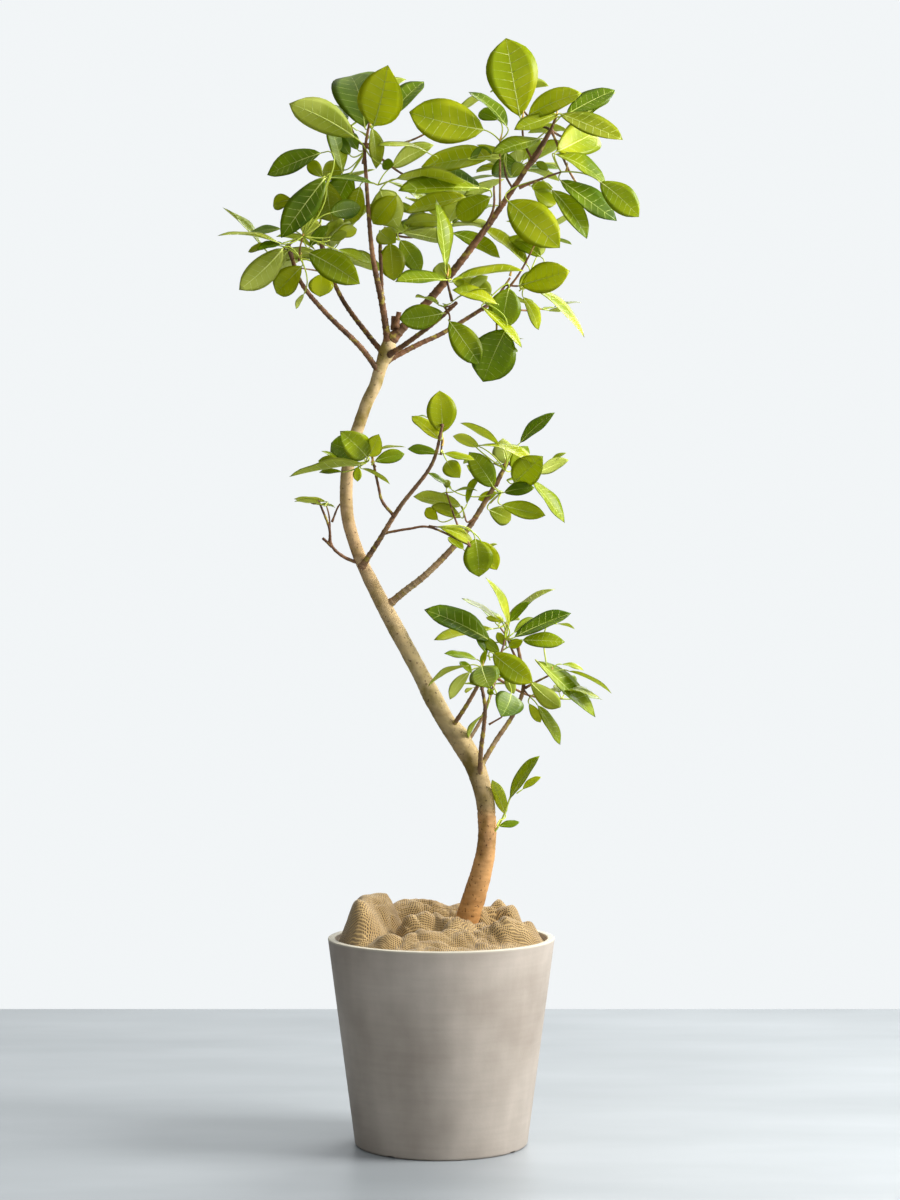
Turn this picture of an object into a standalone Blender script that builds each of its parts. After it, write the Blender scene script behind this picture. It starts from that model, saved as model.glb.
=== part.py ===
"""Potted council tree: an S-curved trunk in a tapered planter, with burlap laid over the soil.

Metres, +Z up. The origin is the centre of the planter's flat underside, +X is the right of the
front view and -Y is towards the viewer. Limbs and leaf masses are placed as they look from the
front: x and z are where a point shows in the upright plane through the planter's axis, and y is
how far behind that plane it really is.
"""
import math
from collections import namedtuple

import bmesh
import bpy
from mathutils import Vector, noise
from mathutils.bvhtree import BVHTree

# The eye that the front view is seen from, level with the middle of the plant
EYE = Vector((0.014, -4.17, 0.870))

# Clearances between neighbours
GAP = 0.0003
WELD = 0.00002

# Planter
PLANTER_HEIGHT = 0.330
RIM_RADIUS = 0.1815
FOOT_RADIUS = 0.1386
WALL = 0.0115
FLOOR = 0.014
FOOT_ROUND = 0.005
LIP_ROUND = 0.0018
ROUND_STEPS = 2
TURN_STEPS = 48
SOIL_STEPS = 24
NOTCH_WIDTH = 0.014
NOTCH_HEIGHT = 0.003
NOTCH_DEPTH = 0.020
NOTCH_COUNT = 4
NOTCH_TURN = math.radians(-125)

# Soil and burlap
SOIL_TOP = 0.285
BURLAP_EDGE = 0.333
BURLAP_RINGS = (0.0, 0.27, 0.50, 0.72, 0.90, 1.0)
BURLAP_STEEP = 16
LUMP_POWER = 2.6
# A lump is a swelling of the burlap: where it is, how high over the edge and how wide
Lump = namedtuple("Lump", "x y rise spread")
BURLAP_LUMPS = (
    Lump(x=-0.120, y=-0.005, rise=0.059, spread=0.052),
    Lump(x=0.085, y=0.000, rise=0.042, spread=0.052),
    Lump(x=-0.010, y=-0.085, rise=0.022, spread=0.050),
    Lump(x=-0.040, y=0.090, rise=0.036, spread=0.055),
    Lump(x=0.050, y=0.095, rise=0.032, spread=0.050),
    Lump(x=0.135, y=-0.030, rise=0.016, spread=0.035),
)

# Trunk: where its middle is at each height, and its radius there
Station = namedtuple("Station", "z x y r")
TRUNK = (
    Station(z=0.280, x=0.022, y=0.000, r=0.0290),
    Station(z=0.315, x=0.028, y=0.000, r=0.0215),
    Station(z=0.364, x=0.043, y=-0.003, r=0.0187),
    Station(z=0.413, x=0.058, y=-0.008, r=0.0178),
    Station(z=0.451, x=0.068, y=-0.011, r=0.0162),
    Station(z=0.490, x=0.073, y=-0.012, r=0.0147),
    Station(z=0.529, x=0.0725, y=-0.010, r=0.0147),
    Station(z=0.568, x=0.066, y=-0.005, r=0.0148),
    Station(z=0.607, x=0.0525, y=0.000, r=0.0160),
    Station(z=0.640, x=0.033, y=0.004, r=0.0168),
    Station(z=0.664, x=0.0145, y=0.006, r=0.0145),
    Station(z=0.709, x=-0.011, y=0.010, r=0.0150),
    Station(z=0.754, x=-0.035, y=0.014, r=0.0130),
    Station(z=0.799, x=-0.059, y=0.016, r=0.0130),
    Station(z=0.850, x=-0.087, y=0.018, r=0.0126),
    Station(z=0.892, x=-0.109, y=0.017, r=0.0115),
    Station(z=0.928, x=-0.1265, y=0.015, r=0.0102),
    Station(z=0.965, x=-0.1405, y=0.012, r=0.0100),
    Station(z=1.002, x=-0.150, y=0.008, r=0.0102),
    Station(z=1.039, x=-0.1525, y=0.004, r=0.0103),
    Station(z=1.075, x=-0.1505, y=0.000, r=0.0103),
    Station(z=1.112, x=-0.144, y=-0.003, r=0.0100),
    Station(z=1.149, x=-0.132, y=-0.004, r=0.0098),
    Station(z=1.186, x=-0.119, y=-0.003, r=0.0098),
    Station(z=1.213, x=-0.106, y=-0.002, r=0.0100),
    Station(z=1.240, x=-0.098, y=-0.001, r=0.0102),
    Station(z=1.267, x=-0.0875, y=0.000, r=0.0100),
    Station(z=1.290, x=-0.081, y=0.000, r=0.0080),
)

TRUNK_RINGS = 32
TRUNK_ROUNDING = 3

# Limbs: the length of one step along them, the fewest steps, and how round they are
LIMB_STEP = 0.035
LIMB_LEAST_STEPS = 4
LIMB_ROUNDING = 2

# A limb: what it grows on, its middle line as (x, z, y) seen from the front, its radius at both
# ends, the leaf mass that it ends in, and the other limbs at its foot that it is cut clear of
Limb = namedtuple("Limb", "name host path radii into clear")
LIMBS = (
    Limb("bough_right", "trunk",
         ((-0.081, 1.287, 0.0), (-0.012, 1.359, -0.01), (0.062, 1.453, -0.03), (0.115, 1.529, -0.04),
          (0.176, 1.623, -0.05)),
         (0.0072, 0.0033), "crown_top_right", ()),
    Limb("bough_centre", "trunk",
         ((-0.0845, 1.280, -0.002), (-0.095, 1.346, -0.01), (-0.106, 1.399, -0.02),
          (-0.114, 1.458, -0.03), (-0.124, 1.600, -0.03)),
         (0.0058, 0.0027), "crown_top_left", ("bough_right",)),
    Limb("bough_centre_back", "bough_centre",
         ((-0.095, 1.352, -0.010), (-0.096, 1.386, 0.03), (-0.098, 1.460, 0.085)),
         (0.0036, 0.0022), "crown_centre_left", ()),
    Limb("bough_left", "trunk",
         ((-0.097, 1.232, -0.004), (-0.131, 1.277, -0.012), (-0.185, 1.330, -0.03),
          (-0.226, 1.381, -0.05), (-0.245, 1.440, -0.06)),
         (0.0047, 0.0030), "crown_left", ()),
    Limb("bough_left_back", "trunk",
         ((-0.090, 1.262, 0.006), (-0.118, 1.296, 0.02), (-0.158, 1.351, 0.06), (-0.185, 1.412, 0.09),
          (-0.198, 1.462, 0.11)),
         (0.0047, 0.0026), "crown_left_back", ()),
    Limb("bough_low_front", "trunk",
         ((-0.086, 1.262, -0.006), (-0.056, 1.281, -0.025), (-0.008, 1.317, -0.07),
          (0.024, 1.346, -0.12)),
         (0.0045, 0.0030), "crown_low_front", ()),
    Limb("bough_low_right", "trunk",
         ((-0.090, 1.252, 0.004), (-0.036, 1.280, 0.018), (0.008, 1.301, 0.03),
          (0.090, 1.352, 0.05)),
         (0.0046, 0.0030), "crown_low_right", ("bough_low_front",)),
    Limb("bough_middle", "trunk",
         ((-0.128, 0.922, 0.010), (-0.100, 0.965, -0.015), (-0.065, 1.021, -0.04),
          (-0.016, 1.086, -0.07), (0.002, 1.150, -0.08)),
         (0.0048, 0.0022), "middle_top", ()),
    Limb("bough_middle_front", "bough_middle",
         ((-0.074, 1.003, -0.033), (-0.094, 1.027, -0.04), (-0.101, 1.053, -0.05),
          (-0.112, 1.105, -0.068)),
         (0.0027, 0.0018), "middle_left", ()),
    Limb("twig_middle", "bough_middle",
         ((-0.092, 0.977, -0.020), (-0.052, 0.984, -0.03), (-0.016, 0.986, -0.035),
          (0.045, 0.958, -0.035)),
         (0.0022, 0.0016), "middle_low", ()),
    Limb("bough_middle_right", "trunk",
         ((-0.092, 0.856, 0.018), (-0.061, 0.882, 0.016), (-0.020, 0.915, 0.020),
          (0.033, 0.971, 0.04), (0.073, 1.032, 0.05), (0.106, 1.090, 0.05)),
         (0.0062, 0.0034), "middle_right", ()),
    Limb("twig_middle_left", "trunk",
         ((-0.126, 0.927, 0.014), (-0.156, 0.939, 0.008), (-0.176, 0.958, 0.0),
          (-0.180, 0.987, -0.005), (-0.196, 1.028, -0.010)),
         (0.0030, 0.0017), "middle_left_low", ()),
    Limb("bough_low_left", "trunk",
         ((0.013, 0.660, 0.002), (0.041, 0.702, -0.02), (0.066, 0.746, -0.035)),
         (0.0039, 0.0028), "low_left", ()),
    Limb("bough_low_middle", "trunk",
         ((0.062, 0.580, -0.006), (0.0635, 0.628, -0.035), (0.068, 0.665, -0.055),
          (0.070, 0.700, -0.065), (0.062, 0.745, -0.070)),
         (0.0041, 0.0025), "low_left", ()),
    Limb("bough_low_side", "trunk",
         ((0.058, 0.594, 0.002), (0.086, 0.642, 0.012), (0.1165, 0.689, 0.03), (0.132, 0.735, 0.04),
          (0.122, 0.800, 0.03)),
         (0.0043, 0.0026), "low_top", ()),
    Limb("bough_low_back", "trunk",
         ((0.036, 0.632, 0.012), (0.066, 0.683, 0.045), (0.088, 0.745, 0.09)),
         (0.0031, 0.0022), "low_back", ()),
    Limb("sprout_stem", "trunk",
         ((0.073, 0.490, -0.014), (0.088, 0.502, -0.020), (0.101, 0.527, -0.025),
          (0.111, 0.556, -0.030)),
         (0.0019, 0.0013), "sprout", ()),
)

# A leaf mass: its middle (x, z, y), its half sizes (width, depth, height), the leaf tips that it
# reaches, the masses that it lies against, and how fine it is
Mass = namedtuple("Mass", "name middle half tips beside fine")
MASSES = (
    Mass("crown_left", (-0.265, 1.437, -0.06), (0.058, 0.064, 0.040),
         ((-0.358, 1.453, -0.05), (-0.326, 1.367, -0.09), (-0.268, 1.508, -0.04),
          (-0.262, 1.361, -0.05), (-0.260, 1.430, -0.155), (-0.290, 1.445, 0.020)),
         ("crown_middle_left",), True),
    Mass("crown_left_back", (-0.182, 1.440, 0.125), (0.052, 0.064, 0.046),
         ((-0.129, 1.380, 0.09), (-0.194, 1.357, 0.12), (-0.265, 1.480, 0.16), (-0.200, 1.430, 0.225),
          (-0.215, 1.510, 0.12)),
         ("crown_back",), False),
    Mass("crown_top_left", (-0.145, 1.650, -0.03), (0.068, 0.070, 0.052),
         ((-0.242, 1.665, -0.08), (-0.092, 1.727, -0.03), (-0.172, 1.705, 0.02), (-0.029, 1.697, 0.03),
          (-0.018, 1.598, -0.07), (-0.160, 1.650, 0.095), (-0.120, 1.620, -0.145)),
         ("crown_middle_left",), True),
    Mass("crown_middle_left", (-0.175, 1.535, -0.03), (0.050, 0.058, 0.042),
         ((-0.278, 1.551, -0.05), (-0.256, 1.452, -0.11), (-0.140, 1.465, -0.09), (-0.215, 1.560, 0.05),
          (-0.085, 1.590, -0.08)),
         ("crown_left", "crown_top_left"), False),
    Mass("crown_centre_left", (-0.072, 1.480, 0.070), (0.040, 0.050, 0.048),
         ((-0.020, 1.430, 0.06), (-0.060, 1.378, 0.08), (-0.100, 1.550, 0.10)),
         ("crown_back", "crown_centre"), False),
    Mass("crown_centre", (-0.002, 1.540, -0.065), (0.074, 0.054, 0.038),
         ((-0.075, 1.512, -0.10), (0.090, 1.578, -0.06), (0.066, 1.500, -0.09), (-0.040, 1.600, -0.06),
          (-0.005, 1.530, -0.155)),
         ("crown_centre_left", "crown_upper_centre"), True),
    Mass("crown_upper_centre", (0.006, 1.656, -0.035), (0.046, 0.038, 0.030),
         ((-0.053, 1.650, -0.05), (0.006, 1.696, -0.03), (0.068, 1.630, -0.03), (0.020, 1.640, 0.035)),
         ("crown_centre", "crown_top"), False),
    Mass("crown_top", (0.114, 1.694, -0.01), (0.042, 0.044, 0.050),
         ((0.104, 1.771, -0.02), (0.046, 1.683, 0.03), (0.150, 1.722, 0.05), (0.100, 1.650, -0.095)),
         ("crown_upper_centre", "crown_top_right"), True),
    Mass("crown_top_right", (0.208, 1.642, -0.03), (0.054, 0.062, 0.034),
         ((0.227, 1.689, -0.06), (0.277, 1.688, 0.00), (0.294, 1.607, -0.08), (0.210, 1.650, 0.090),
          (0.190, 1.630, -0.135)),
         ("crown_top", "crown_right"), True),
    Mass("crown_right", (0.236, 1.534, 0.00), (0.054, 0.060, 0.038),
         ((0.320, 1.484, 0.01), (0.282, 1.474, -0.05), (0.234, 1.450, 0.02), (0.240, 1.550, 0.115),
          (0.215, 1.530, -0.110)),
         ("crown_top_right", "crown_right_low"), True),
    Mass("crown_right_low", (0.152, 1.470, -0.02), (0.048, 0.054, 0.044),
         ((0.196, 1.436, -0.05), (0.208, 1.397, 0.02), (0.150, 1.450, -0.120), (0.165, 1.470, 0.085)),
         ("crown_right",), False),
    Mass("crown_low_front", (0.010, 1.345, -0.135), (0.050, 0.044, 0.034),
         ((-0.066, 1.325, -0.15), (-0.068, 1.388, -0.13), (0.067, 1.249, -0.14), (-0.004, 1.470, -0.12),
          (0.000, 1.340, -0.220)),
         (), True),
    Mass("crown_low_right", (0.086, 1.312, 0.02), (0.042, 0.048, 0.054),
         ((0.062, 1.219, -0.02), (0.128, 1.290, 0.00), (0.080, 1.310, -0.065), (0.080, 1.330, 0.115)),
         ("crown_low_tip",), False),
    Mass("crown_low_tip", (0.146, 1.374, 0.045), (0.044, 0.048, 0.034),
         ((0.230, 1.290, 0.02), (0.160, 1.306, 0.04), (0.206, 1.396, 0.07), (0.140, 1.370, 0.140)),
         ("crown_low_right",), False),
    Mass("crown_back", (0.020, 1.475, 0.155), (0.068, 0.060, 0.054),
         ((-0.060, 1.530, 0.20), (0.020, 1.385, 0.16), (0.080, 1.430, 0.20), (0.010, 1.490, 0.265),
          (0.030, 1.575, 0.17)),
         ("crown_centre_left", "crown_back_right", "crown_left_back"), True),
    Mass("crown_back_right", (0.125, 1.570, 0.125), (0.050, 0.054, 0.042),
         ((0.190, 1.560, 0.15), (0.110, 1.635, 0.12), (0.130, 1.520, 0.220)),
         ("crown_back",), False),
    Mass("middle_left", (-0.132, 1.110, -0.072), (0.044, 0.030, 0.024),
         ((-0.182, 1.118, -0.08), (-0.057, 1.103, -0.09), (-0.197, 1.073, -0.05), (-0.105, 1.143, -0.08),
          (-0.135, 1.100, -0.140)),
         (), False),
    Mass("middle_left_low", (-0.208, 1.029, -0.010), (0.022, 0.020, 0.011),
         ((-0.237, 1.033, -0.01), (-0.182, 1.014, -0.02), (-0.205, 1.030, 0.032)),
         (), False),
    Mass("middle_top", (-0.003, 1.164, -0.070), (0.026, 0.030, 0.034),
         ((-0.002, 1.207, -0.07), (-0.046, 1.165, -0.07), (-0.008, 1.165, -0.130), (0.016, 1.172, -0.010)),
         (), False),
    Mass("middle_centre", (0.010, 1.045, -0.010), (0.034, 0.032, 0.026),
         ((-0.043, 1.042, -0.03), (-0.026, 1.000, -0.02), (0.028, 1.100, -0.04), (0.020, 1.040, 0.055)),
         ("middle_right",), False),
    Mass("middle_right", (0.094, 1.096, 0.045), (0.048, 0.050, 0.032),
         ((0.036, 1.151, 0.04), (0.090, 1.100, -0.060), (0.105, 1.100, 0.135), (0.078, 1.044, 0.00)),
         ("middle_centre", "middle_right_out"), False),
    Mass("middle_right_out", (0.156, 1.078, 0.035), (0.034, 0.042, 0.036),
         ((0.183, 1.173, 0.02), (0.203, 1.098, 0.04), (0.198, 0.995, 0.03), (0.150, 1.006, 0.00),
          (0.165, 1.090, 0.110)),
         ("middle_right",), False),
    Mass("middle_low", (0.060, 0.948, -0.030), (0.030, 0.030, 0.028),
         ((0.084, 0.905, -0.03), (0.006, 0.985, -0.04), (0.060, 0.950, -0.090), (0.050, 0.955, 0.025)),
         (), False),
    Mass("low_top", (0.105, 0.822, 0.010), (0.052, 0.052, 0.034),
         ((-0.025, 0.857, -0.03), (0.072, 0.907, 0.00), (0.128, 0.868, 0.02), (0.202, 0.850, 0.03),
          (0.110, 0.820, -0.095), (0.110, 0.830, 0.115)),
         ("low_right",), True),
    Mass("low_right", (0.175, 0.742, 0.030), (0.040, 0.046, 0.028),
         ((0.262, 0.722, 0.05), (0.247, 0.690, 0.03), (0.192, 0.641, 0.01), (0.203, 0.770, 0.02),
          (0.180, 0.745, -0.065), (0.190, 0.750, 0.125)),
         ("low_top",), False),
    Mass("low_left", (0.064, 0.742, -0.055), (0.040, 0.038, 0.030),
         ((-0.003, 0.781, -0.06), (0.124, 0.705, -0.06), (0.016, 0.716, -0.05), (0.070, 0.745, -0.130)),
         (), False),
    Mass("low_back", (0.085, 0.752, 0.095), (0.036, 0.036, 0.024),
         ((0.020, 0.745, 0.10), (0.090, 0.755, 0.165), (0.110, 0.700, 0.10)),
         (), False),
    Mass("sprout", (0.112, 0.562, -0.030), (0.015, 0.014, 0.018),
         ((0.158, 0.620, -0.03), (0.081, 0.582, -0.035), (0.126, 0.511, -0.02)),
         (), False),
)

# Shape of a leaf mass
UNEVEN = 0.14
UNEVEN_SIZE = 1.9
NOISE_STRIDE = Vector((3.1, 1.7, 0.9))
LEAST_LEAN = 0.01
LOBE_WIDTH = 0.11
FINE_STEPS = 3
COARSE_SEGMENTS = 12
COARSE_RINGS = 7

# Edges sharper than this stay sharp when a mesh is shaded smooth
SHARP_ANGLE = math.radians(40)

# Colour, roughness and metallic value of each finish
FINISHES = {
    "stone": ((0.34, 0.30, 0.27), 0.75, 0.0),
    "earth": ((0.05, 0.035, 0.025), 0.95, 0.0),
    "burlap": ((0.50, 0.35, 0.17), 0.95, 0.0),
    "bark": ((0.36, 0.27, 0.15), 0.85, 0.0),
    "dark_bark": ((0.12, 0.06, 0.035), 0.85, 0.0),
    "leaf": ((0.20, 0.38, 0.04), 0.50, 0.0),
}


def clear_scene():
    for old in list(bpy.data.objects):
        bpy.data.objects.remove(old)


def finish(name):
    """The material of that name, made the first time it is asked for."""
    found = bpy.data.materials.get(name)
    if found:
        return found
    colour, roughness, metallic = FINISHES[name]
    made = bpy.data.materials.new(name)
    made.use_nodes = True
    shader = made.node_tree.nodes["Principled BSDF"]
    shader.inputs["Base Color"].default_value = (*colour, 1.0)
    shader.inputs["Roughness"].default_value = roughness
    shader.inputs["Metallic"].default_value = metallic
    made.diffuse_color = (*colour, 1.0)
    return made


def add_object(name, mesh, coll, finish_name=None):
    made = bpy.data.objects.new(name, mesh)
    coll.objects.link(made)
    if finish_name:
        mesh.materials.clear()
        mesh.materials.append(finish(finish_name))
        mesh.shade_smooth()
        mesh.set_sharp_from_angle(angle=SHARP_ANGLE)
    return made


def evaluated_mesh(thing):
    """The object's mesh with its modifiers in it."""
    depsgraph = bpy.context.evaluated_depsgraph_get()
    return bpy.data.meshes.new_from_object(thing.evaluated_get(depsgraph))


def seen(x, z, y):
    """The point at depth y that the eye sees at (x, z) in the plane of the planter's axis."""
    flat = Vector((x, 0.0, z))
    return EYE + (flat - EYE) * ((y - EYE.y) / -EYE.y)


def smooth_path(points, count):
    """Points along a Catmull-Rom curve through the given points, each a Vector of any length."""
    ends = [2 * points[0] - points[1], *points, 2 * points[-1] - points[-2]]
    spans = len(points) - 1
    made = []
    for step in range(count + 1):
        place = min(step / count * spans, spans - 1e-9)
        i = int(place)
        t = place - i
        a, b, c, d = ends[i:i + 4]
        made.append(0.5 * (2 * b + (c - a) * t + (2 * a - 5 * b + 4 * c - d) * t * t
                           + (3 * b - a - 3 * c + d) * t ** 3))
    return made


def tube(name, points, radii, sides_step, coll, finish_name):
    """A closed tube with its own radius at each point, as a mesh."""
    curve = bpy.data.curves.new(name, "CURVE")
    curve.dimensions = "3D"
    curve.bevel_depth = 1.0
    curve.bevel_resolution = sides_step
    curve.use_fill_caps = True
    spline = curve.splines.new("POLY")
    spline.points.add(len(points) - 1)
    for knot, point, radius in zip(spline.points, points, radii):
        knot.co = (*point, 1.0)
        knot.radius = radius
    guide = bpy.data.objects.new(name + "_curve", curve)
    coll.objects.link(guide)
    mesh = evaluated_mesh(guide)
    bpy.data.objects.remove(guide)
    bm = bmesh.new()
    bm.from_mesh(mesh)
    bmesh.ops.remove_doubles(bm, verts=bm.verts, dist=WELD)
    bmesh.ops.recalc_face_normals(bm, faces=bm.faces)
    bm.to_mesh(mesh)
    bm.free()
    return add_object(name, mesh, coll, finish_name)


def turned(name, profile, coll, finish_name, steps=TURN_STEPS):
    """A profile of (radius, height) points turned about the axis, down its outer side."""
    mesh = bpy.data.meshes.new(name)
    bm = bmesh.new()
    row = [bm.verts.new((radius, 0.0, height)) for radius, height in profile]
    for first, second in zip(row, row[1:]):
        bm.edges.new((first, second))
    bm.to_mesh(mesh)
    bm.free()
    made = bpy.data.objects.new(name, mesh)
    coll.objects.link(made)
    screw = made.modifiers.new("turn", "SCREW")
    screw.steps = steps
    screw.render_steps = steps
    screw.use_merge_vertices = True
    screw.merge_threshold = WELD
    solid = evaluated_mesh(made)
    bpy.data.objects.remove(made)
    return add_object(name, solid, coll, finish_name)


def arc(middle, radius, start, end, steps):
    """Points of (radius, height) along an arc, by angles in degrees."""
    return [(middle[0] + radius * math.cos(math.radians(start + (end - start) * i / steps)),
             middle[1] + radius * math.sin(math.radians(start + (end - start) * i / steps)))
            for i in range(steps + 1)]


def outer_radius(z):
    return FOOT_RADIUS + (RIM_RADIUS - FOOT_RADIUS) * z / PLANTER_HEIGHT


def inner_radius(z):
    return outer_radius(z) - WALL


def swollen(thing, gap, coll):
    """A copy of a solid that stands proud of it by the gap on every side, for use as a cutter."""
    mesh = thing.data.copy()
    bm = bmesh.new()
    bm.from_mesh(mesh)
    bm.normal_update()
    moves = [v.normal * gap * v.calc_shell_factor() for v in bm.verts]
    for vert, move in zip(bm.verts, moves):
        vert.co += move
    bm.to_mesh(mesh)
    bm.free()
    made = add_object(thing.name + "_cutter", mesh, coll)
    made.hide_render = True
    made.display_type = "WIRE"
    return made


def keep_largest(bm):
    """Deletes every loose body but the one with the longest box."""
    left = set(bm.verts)
    bodies = []
    while left:
        body = set()
        edge = [left.pop()]
        while edge:
            vert = edge.pop()
            body.add(vert)
            near = {e.other_vert(vert) for e in vert.link_edges} & left
            left -= near
            edge.extend(near)
        bodies.append(body)

    def size(body):
        low = Vector([min(v.co[k] for v in body) for k in range(3)])
        high = Vector([max(v.co[k] for v in body) for k in range(3)])
        return (high - low).length

    bodies.sort(key=size)
    for body in bodies[:-1]:
        bmesh.ops.delete(bm, geom=list(body), context="VERTS")


def trim(thing, cutter_of, cutters, gap=GAP):
    """Cuts a solid clear of its neighbour, and keeps its main part."""
    cutter = swollen(cutter_of, gap, cutters)
    cut = thing.modifiers.new("trim", "BOOLEAN")
    cut.operation = "DIFFERENCE"
    cut.solver = "EXACT"
    cut.object = cutter
    mesh = evaluated_mesh(thing)
    thing.modifiers.remove(cut)
    bpy.data.objects.remove(cutter)
    bm = bmesh.new()
    bm.from_mesh(mesh)
    bmesh.ops.remove_doubles(bm, verts=bm.verts, dist=WELD)
    keep_largest(bm)
    bm.to_mesh(mesh)
    bm.free()
    mesh.materials.clear()
    mesh.materials.append(thing.data.materials[0])
    thing.data = mesh


def crosses(first, second):
    """Whether the surfaces of two solids meet."""
    trees = []
    for thing in (first, second):
        bm = bmesh.new()
        bm.from_mesh(thing.data)
        trees.append(BVHTree.FromBMesh(bm))
        bm.free()
    return bool(trees[0].overlap(trees[1]))


def build_planter(coll, cutters):
    lip_in = RIM_RADIUS - WALL
    profile = [(0.0, FLOOR), (inner_radius(FLOOR), FLOOR)]
    profile += arc((lip_in + LIP_ROUND, PLANTER_HEIGHT - LIP_ROUND), LIP_ROUND, 180, 90, 1)
    profile += arc((RIM_RADIUS - LIP_ROUND, PLANTER_HEIGHT - LIP_ROUND), LIP_ROUND, 90, 0, 1)
    profile += arc((FOOT_RADIUS - FOOT_ROUND, FOOT_ROUND), FOOT_ROUND, 0, -90, ROUND_STEPS)
    profile += [(0.0, 0.0)]
    planter = turned("planter", profile, coll, "stone")

    bm = bmesh.new()
    for k in range(NOTCH_COUNT):
        turn = NOTCH_TURN + 2 * math.pi * k / NOTCH_COUNT
        cube = bmesh.ops.create_cube(bm, size=1.0)["verts"]
        for vert in cube:
            along = vert.co.x * NOTCH_DEPTH + FOOT_RADIUS
            across = vert.co.y * NOTCH_WIDTH
            vert.co = Vector((along * math.cos(turn) - across * math.sin(turn),
                              along * math.sin(turn) + across * math.cos(turn),
                              vert.co.z * 2 * NOTCH_HEIGHT))
    mesh = bpy.data.meshes.new("notches")
    bm.to_mesh(mesh)
    bm.free()
    mesh.materials.append(finish("stone"))
    notches = add_object("notches", mesh, cutters)
    trim(planter, notches, cutters, 0.0)
    bpy.data.objects.remove(notches)
    return planter


def build_soil(coll):
    low, high = FLOOR + GAP, SOIL_TOP
    room = 2 * GAP
    profile = [(0.0, high), (inner_radius(high) - room, high), (inner_radius(low) - room, low), (0.0, low)]
    return turned("soil", profile, coll, "earth", SOIL_STEPS)


def burlap_rise(x, y):
    """How far the burlap stands over its edge at a place."""
    rise = 0.0
    for lump in BURLAP_LUMPS:
        away = math.hypot(x - lump.x, y - lump.y) / lump.spread
        rise = max(rise, lump.rise * math.exp(-away ** LUMP_POWER))
    return rise


def build_burlap(coll):
    low, room = SOIL_TOP + GAP, 2 * GAP
    edge = inner_radius(BURLAP_EDGE) - room - LIP_ROUND
    rings = [(edge * share, BURLAP_EDGE) for share in BURLAP_RINGS]
    profile = rings + [(inner_radius(low) - room, low), (0.0, low)]
    burlap = turned("burlap", profile, coll, "burlap")
    for vert in burlap.data.vertices:
        if vert.co.z > BURLAP_EDGE - GAP:
            fade = 1.0 - (math.hypot(vert.co.x, vert.co.y) / edge) ** BURLAP_STEEP
            vert.co.z += burlap_rise(vert.co.x, vert.co.y) * fade
    return burlap


def build_trunk(coll):
    rows = [Vector((s.x, s.y, s.z, s.r)) for s in TRUNK]
    path = smooth_path(rows, TRUNK_RINGS)
    trunk = tube("trunk", [row.xyz for row in path], [row[3] for row in path], TRUNK_ROUNDING, coll,
                 "bark")
    bm = bmesh.new()
    bm.from_mesh(trunk.data)
    whole = list(bm.verts) + list(bm.edges) + list(bm.faces)
    cut = bmesh.ops.bisect_plane(bm, geom=whole, plane_co=(0, 0, SOIL_TOP + GAP), plane_no=(0, 0, -1),
                                 clear_outer=True)
    rim = [e for e in cut["geom_cut"] if isinstance(e, bmesh.types.BMEdge)]
    bmesh.ops.contextual_create(bm, geom=rim)
    bmesh.ops.recalc_face_normals(bm, faces=bm.faces)
    bm.to_mesh(trunk.data)
    bm.free()
    return trunk


def build_limb(limb, coll):
    points = [seen(*point) for point in limb.path]
    length = sum((b - a).length for a, b in zip(points, points[1:]))
    count = max(LIMB_LEAST_STEPS, round(length / LIMB_STEP))
    path = smooth_path(points, count)
    radii = [limb.radii[0] + (limb.radii[1] - limb.radii[0]) * k / count for k in range(count + 1)]
    skin = "leaf" if limb.name == "sprout_stem" else "dark_bark"
    return tube(limb.name, path, radii, LIMB_ROUNDING, coll, skin)


def ellipsoid_reach(half, way):
    """How far the ellipsoid of those half sizes reaches from its middle in a direction."""
    return 1.0 / math.sqrt(sum((way[k] / half[k]) ** 2 for k in range(3)))


def mass_walls(mass):
    """Planes between a mass and the rest, as (direction, distance), so that no two overlap."""
    middle = seen(*mass.middle)
    walls = []
    for other in MASSES:
        if other.name == mass.name:
            continue
        way = seen(*other.middle) - middle
        span = way.length
        way.normalize()
        own = ellipsoid_reach(mass.half, way)
        theirs = ellipsoid_reach(other.half, way)
        walls.append((way, span * own / (own + theirs) - GAP))
    return walls


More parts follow.
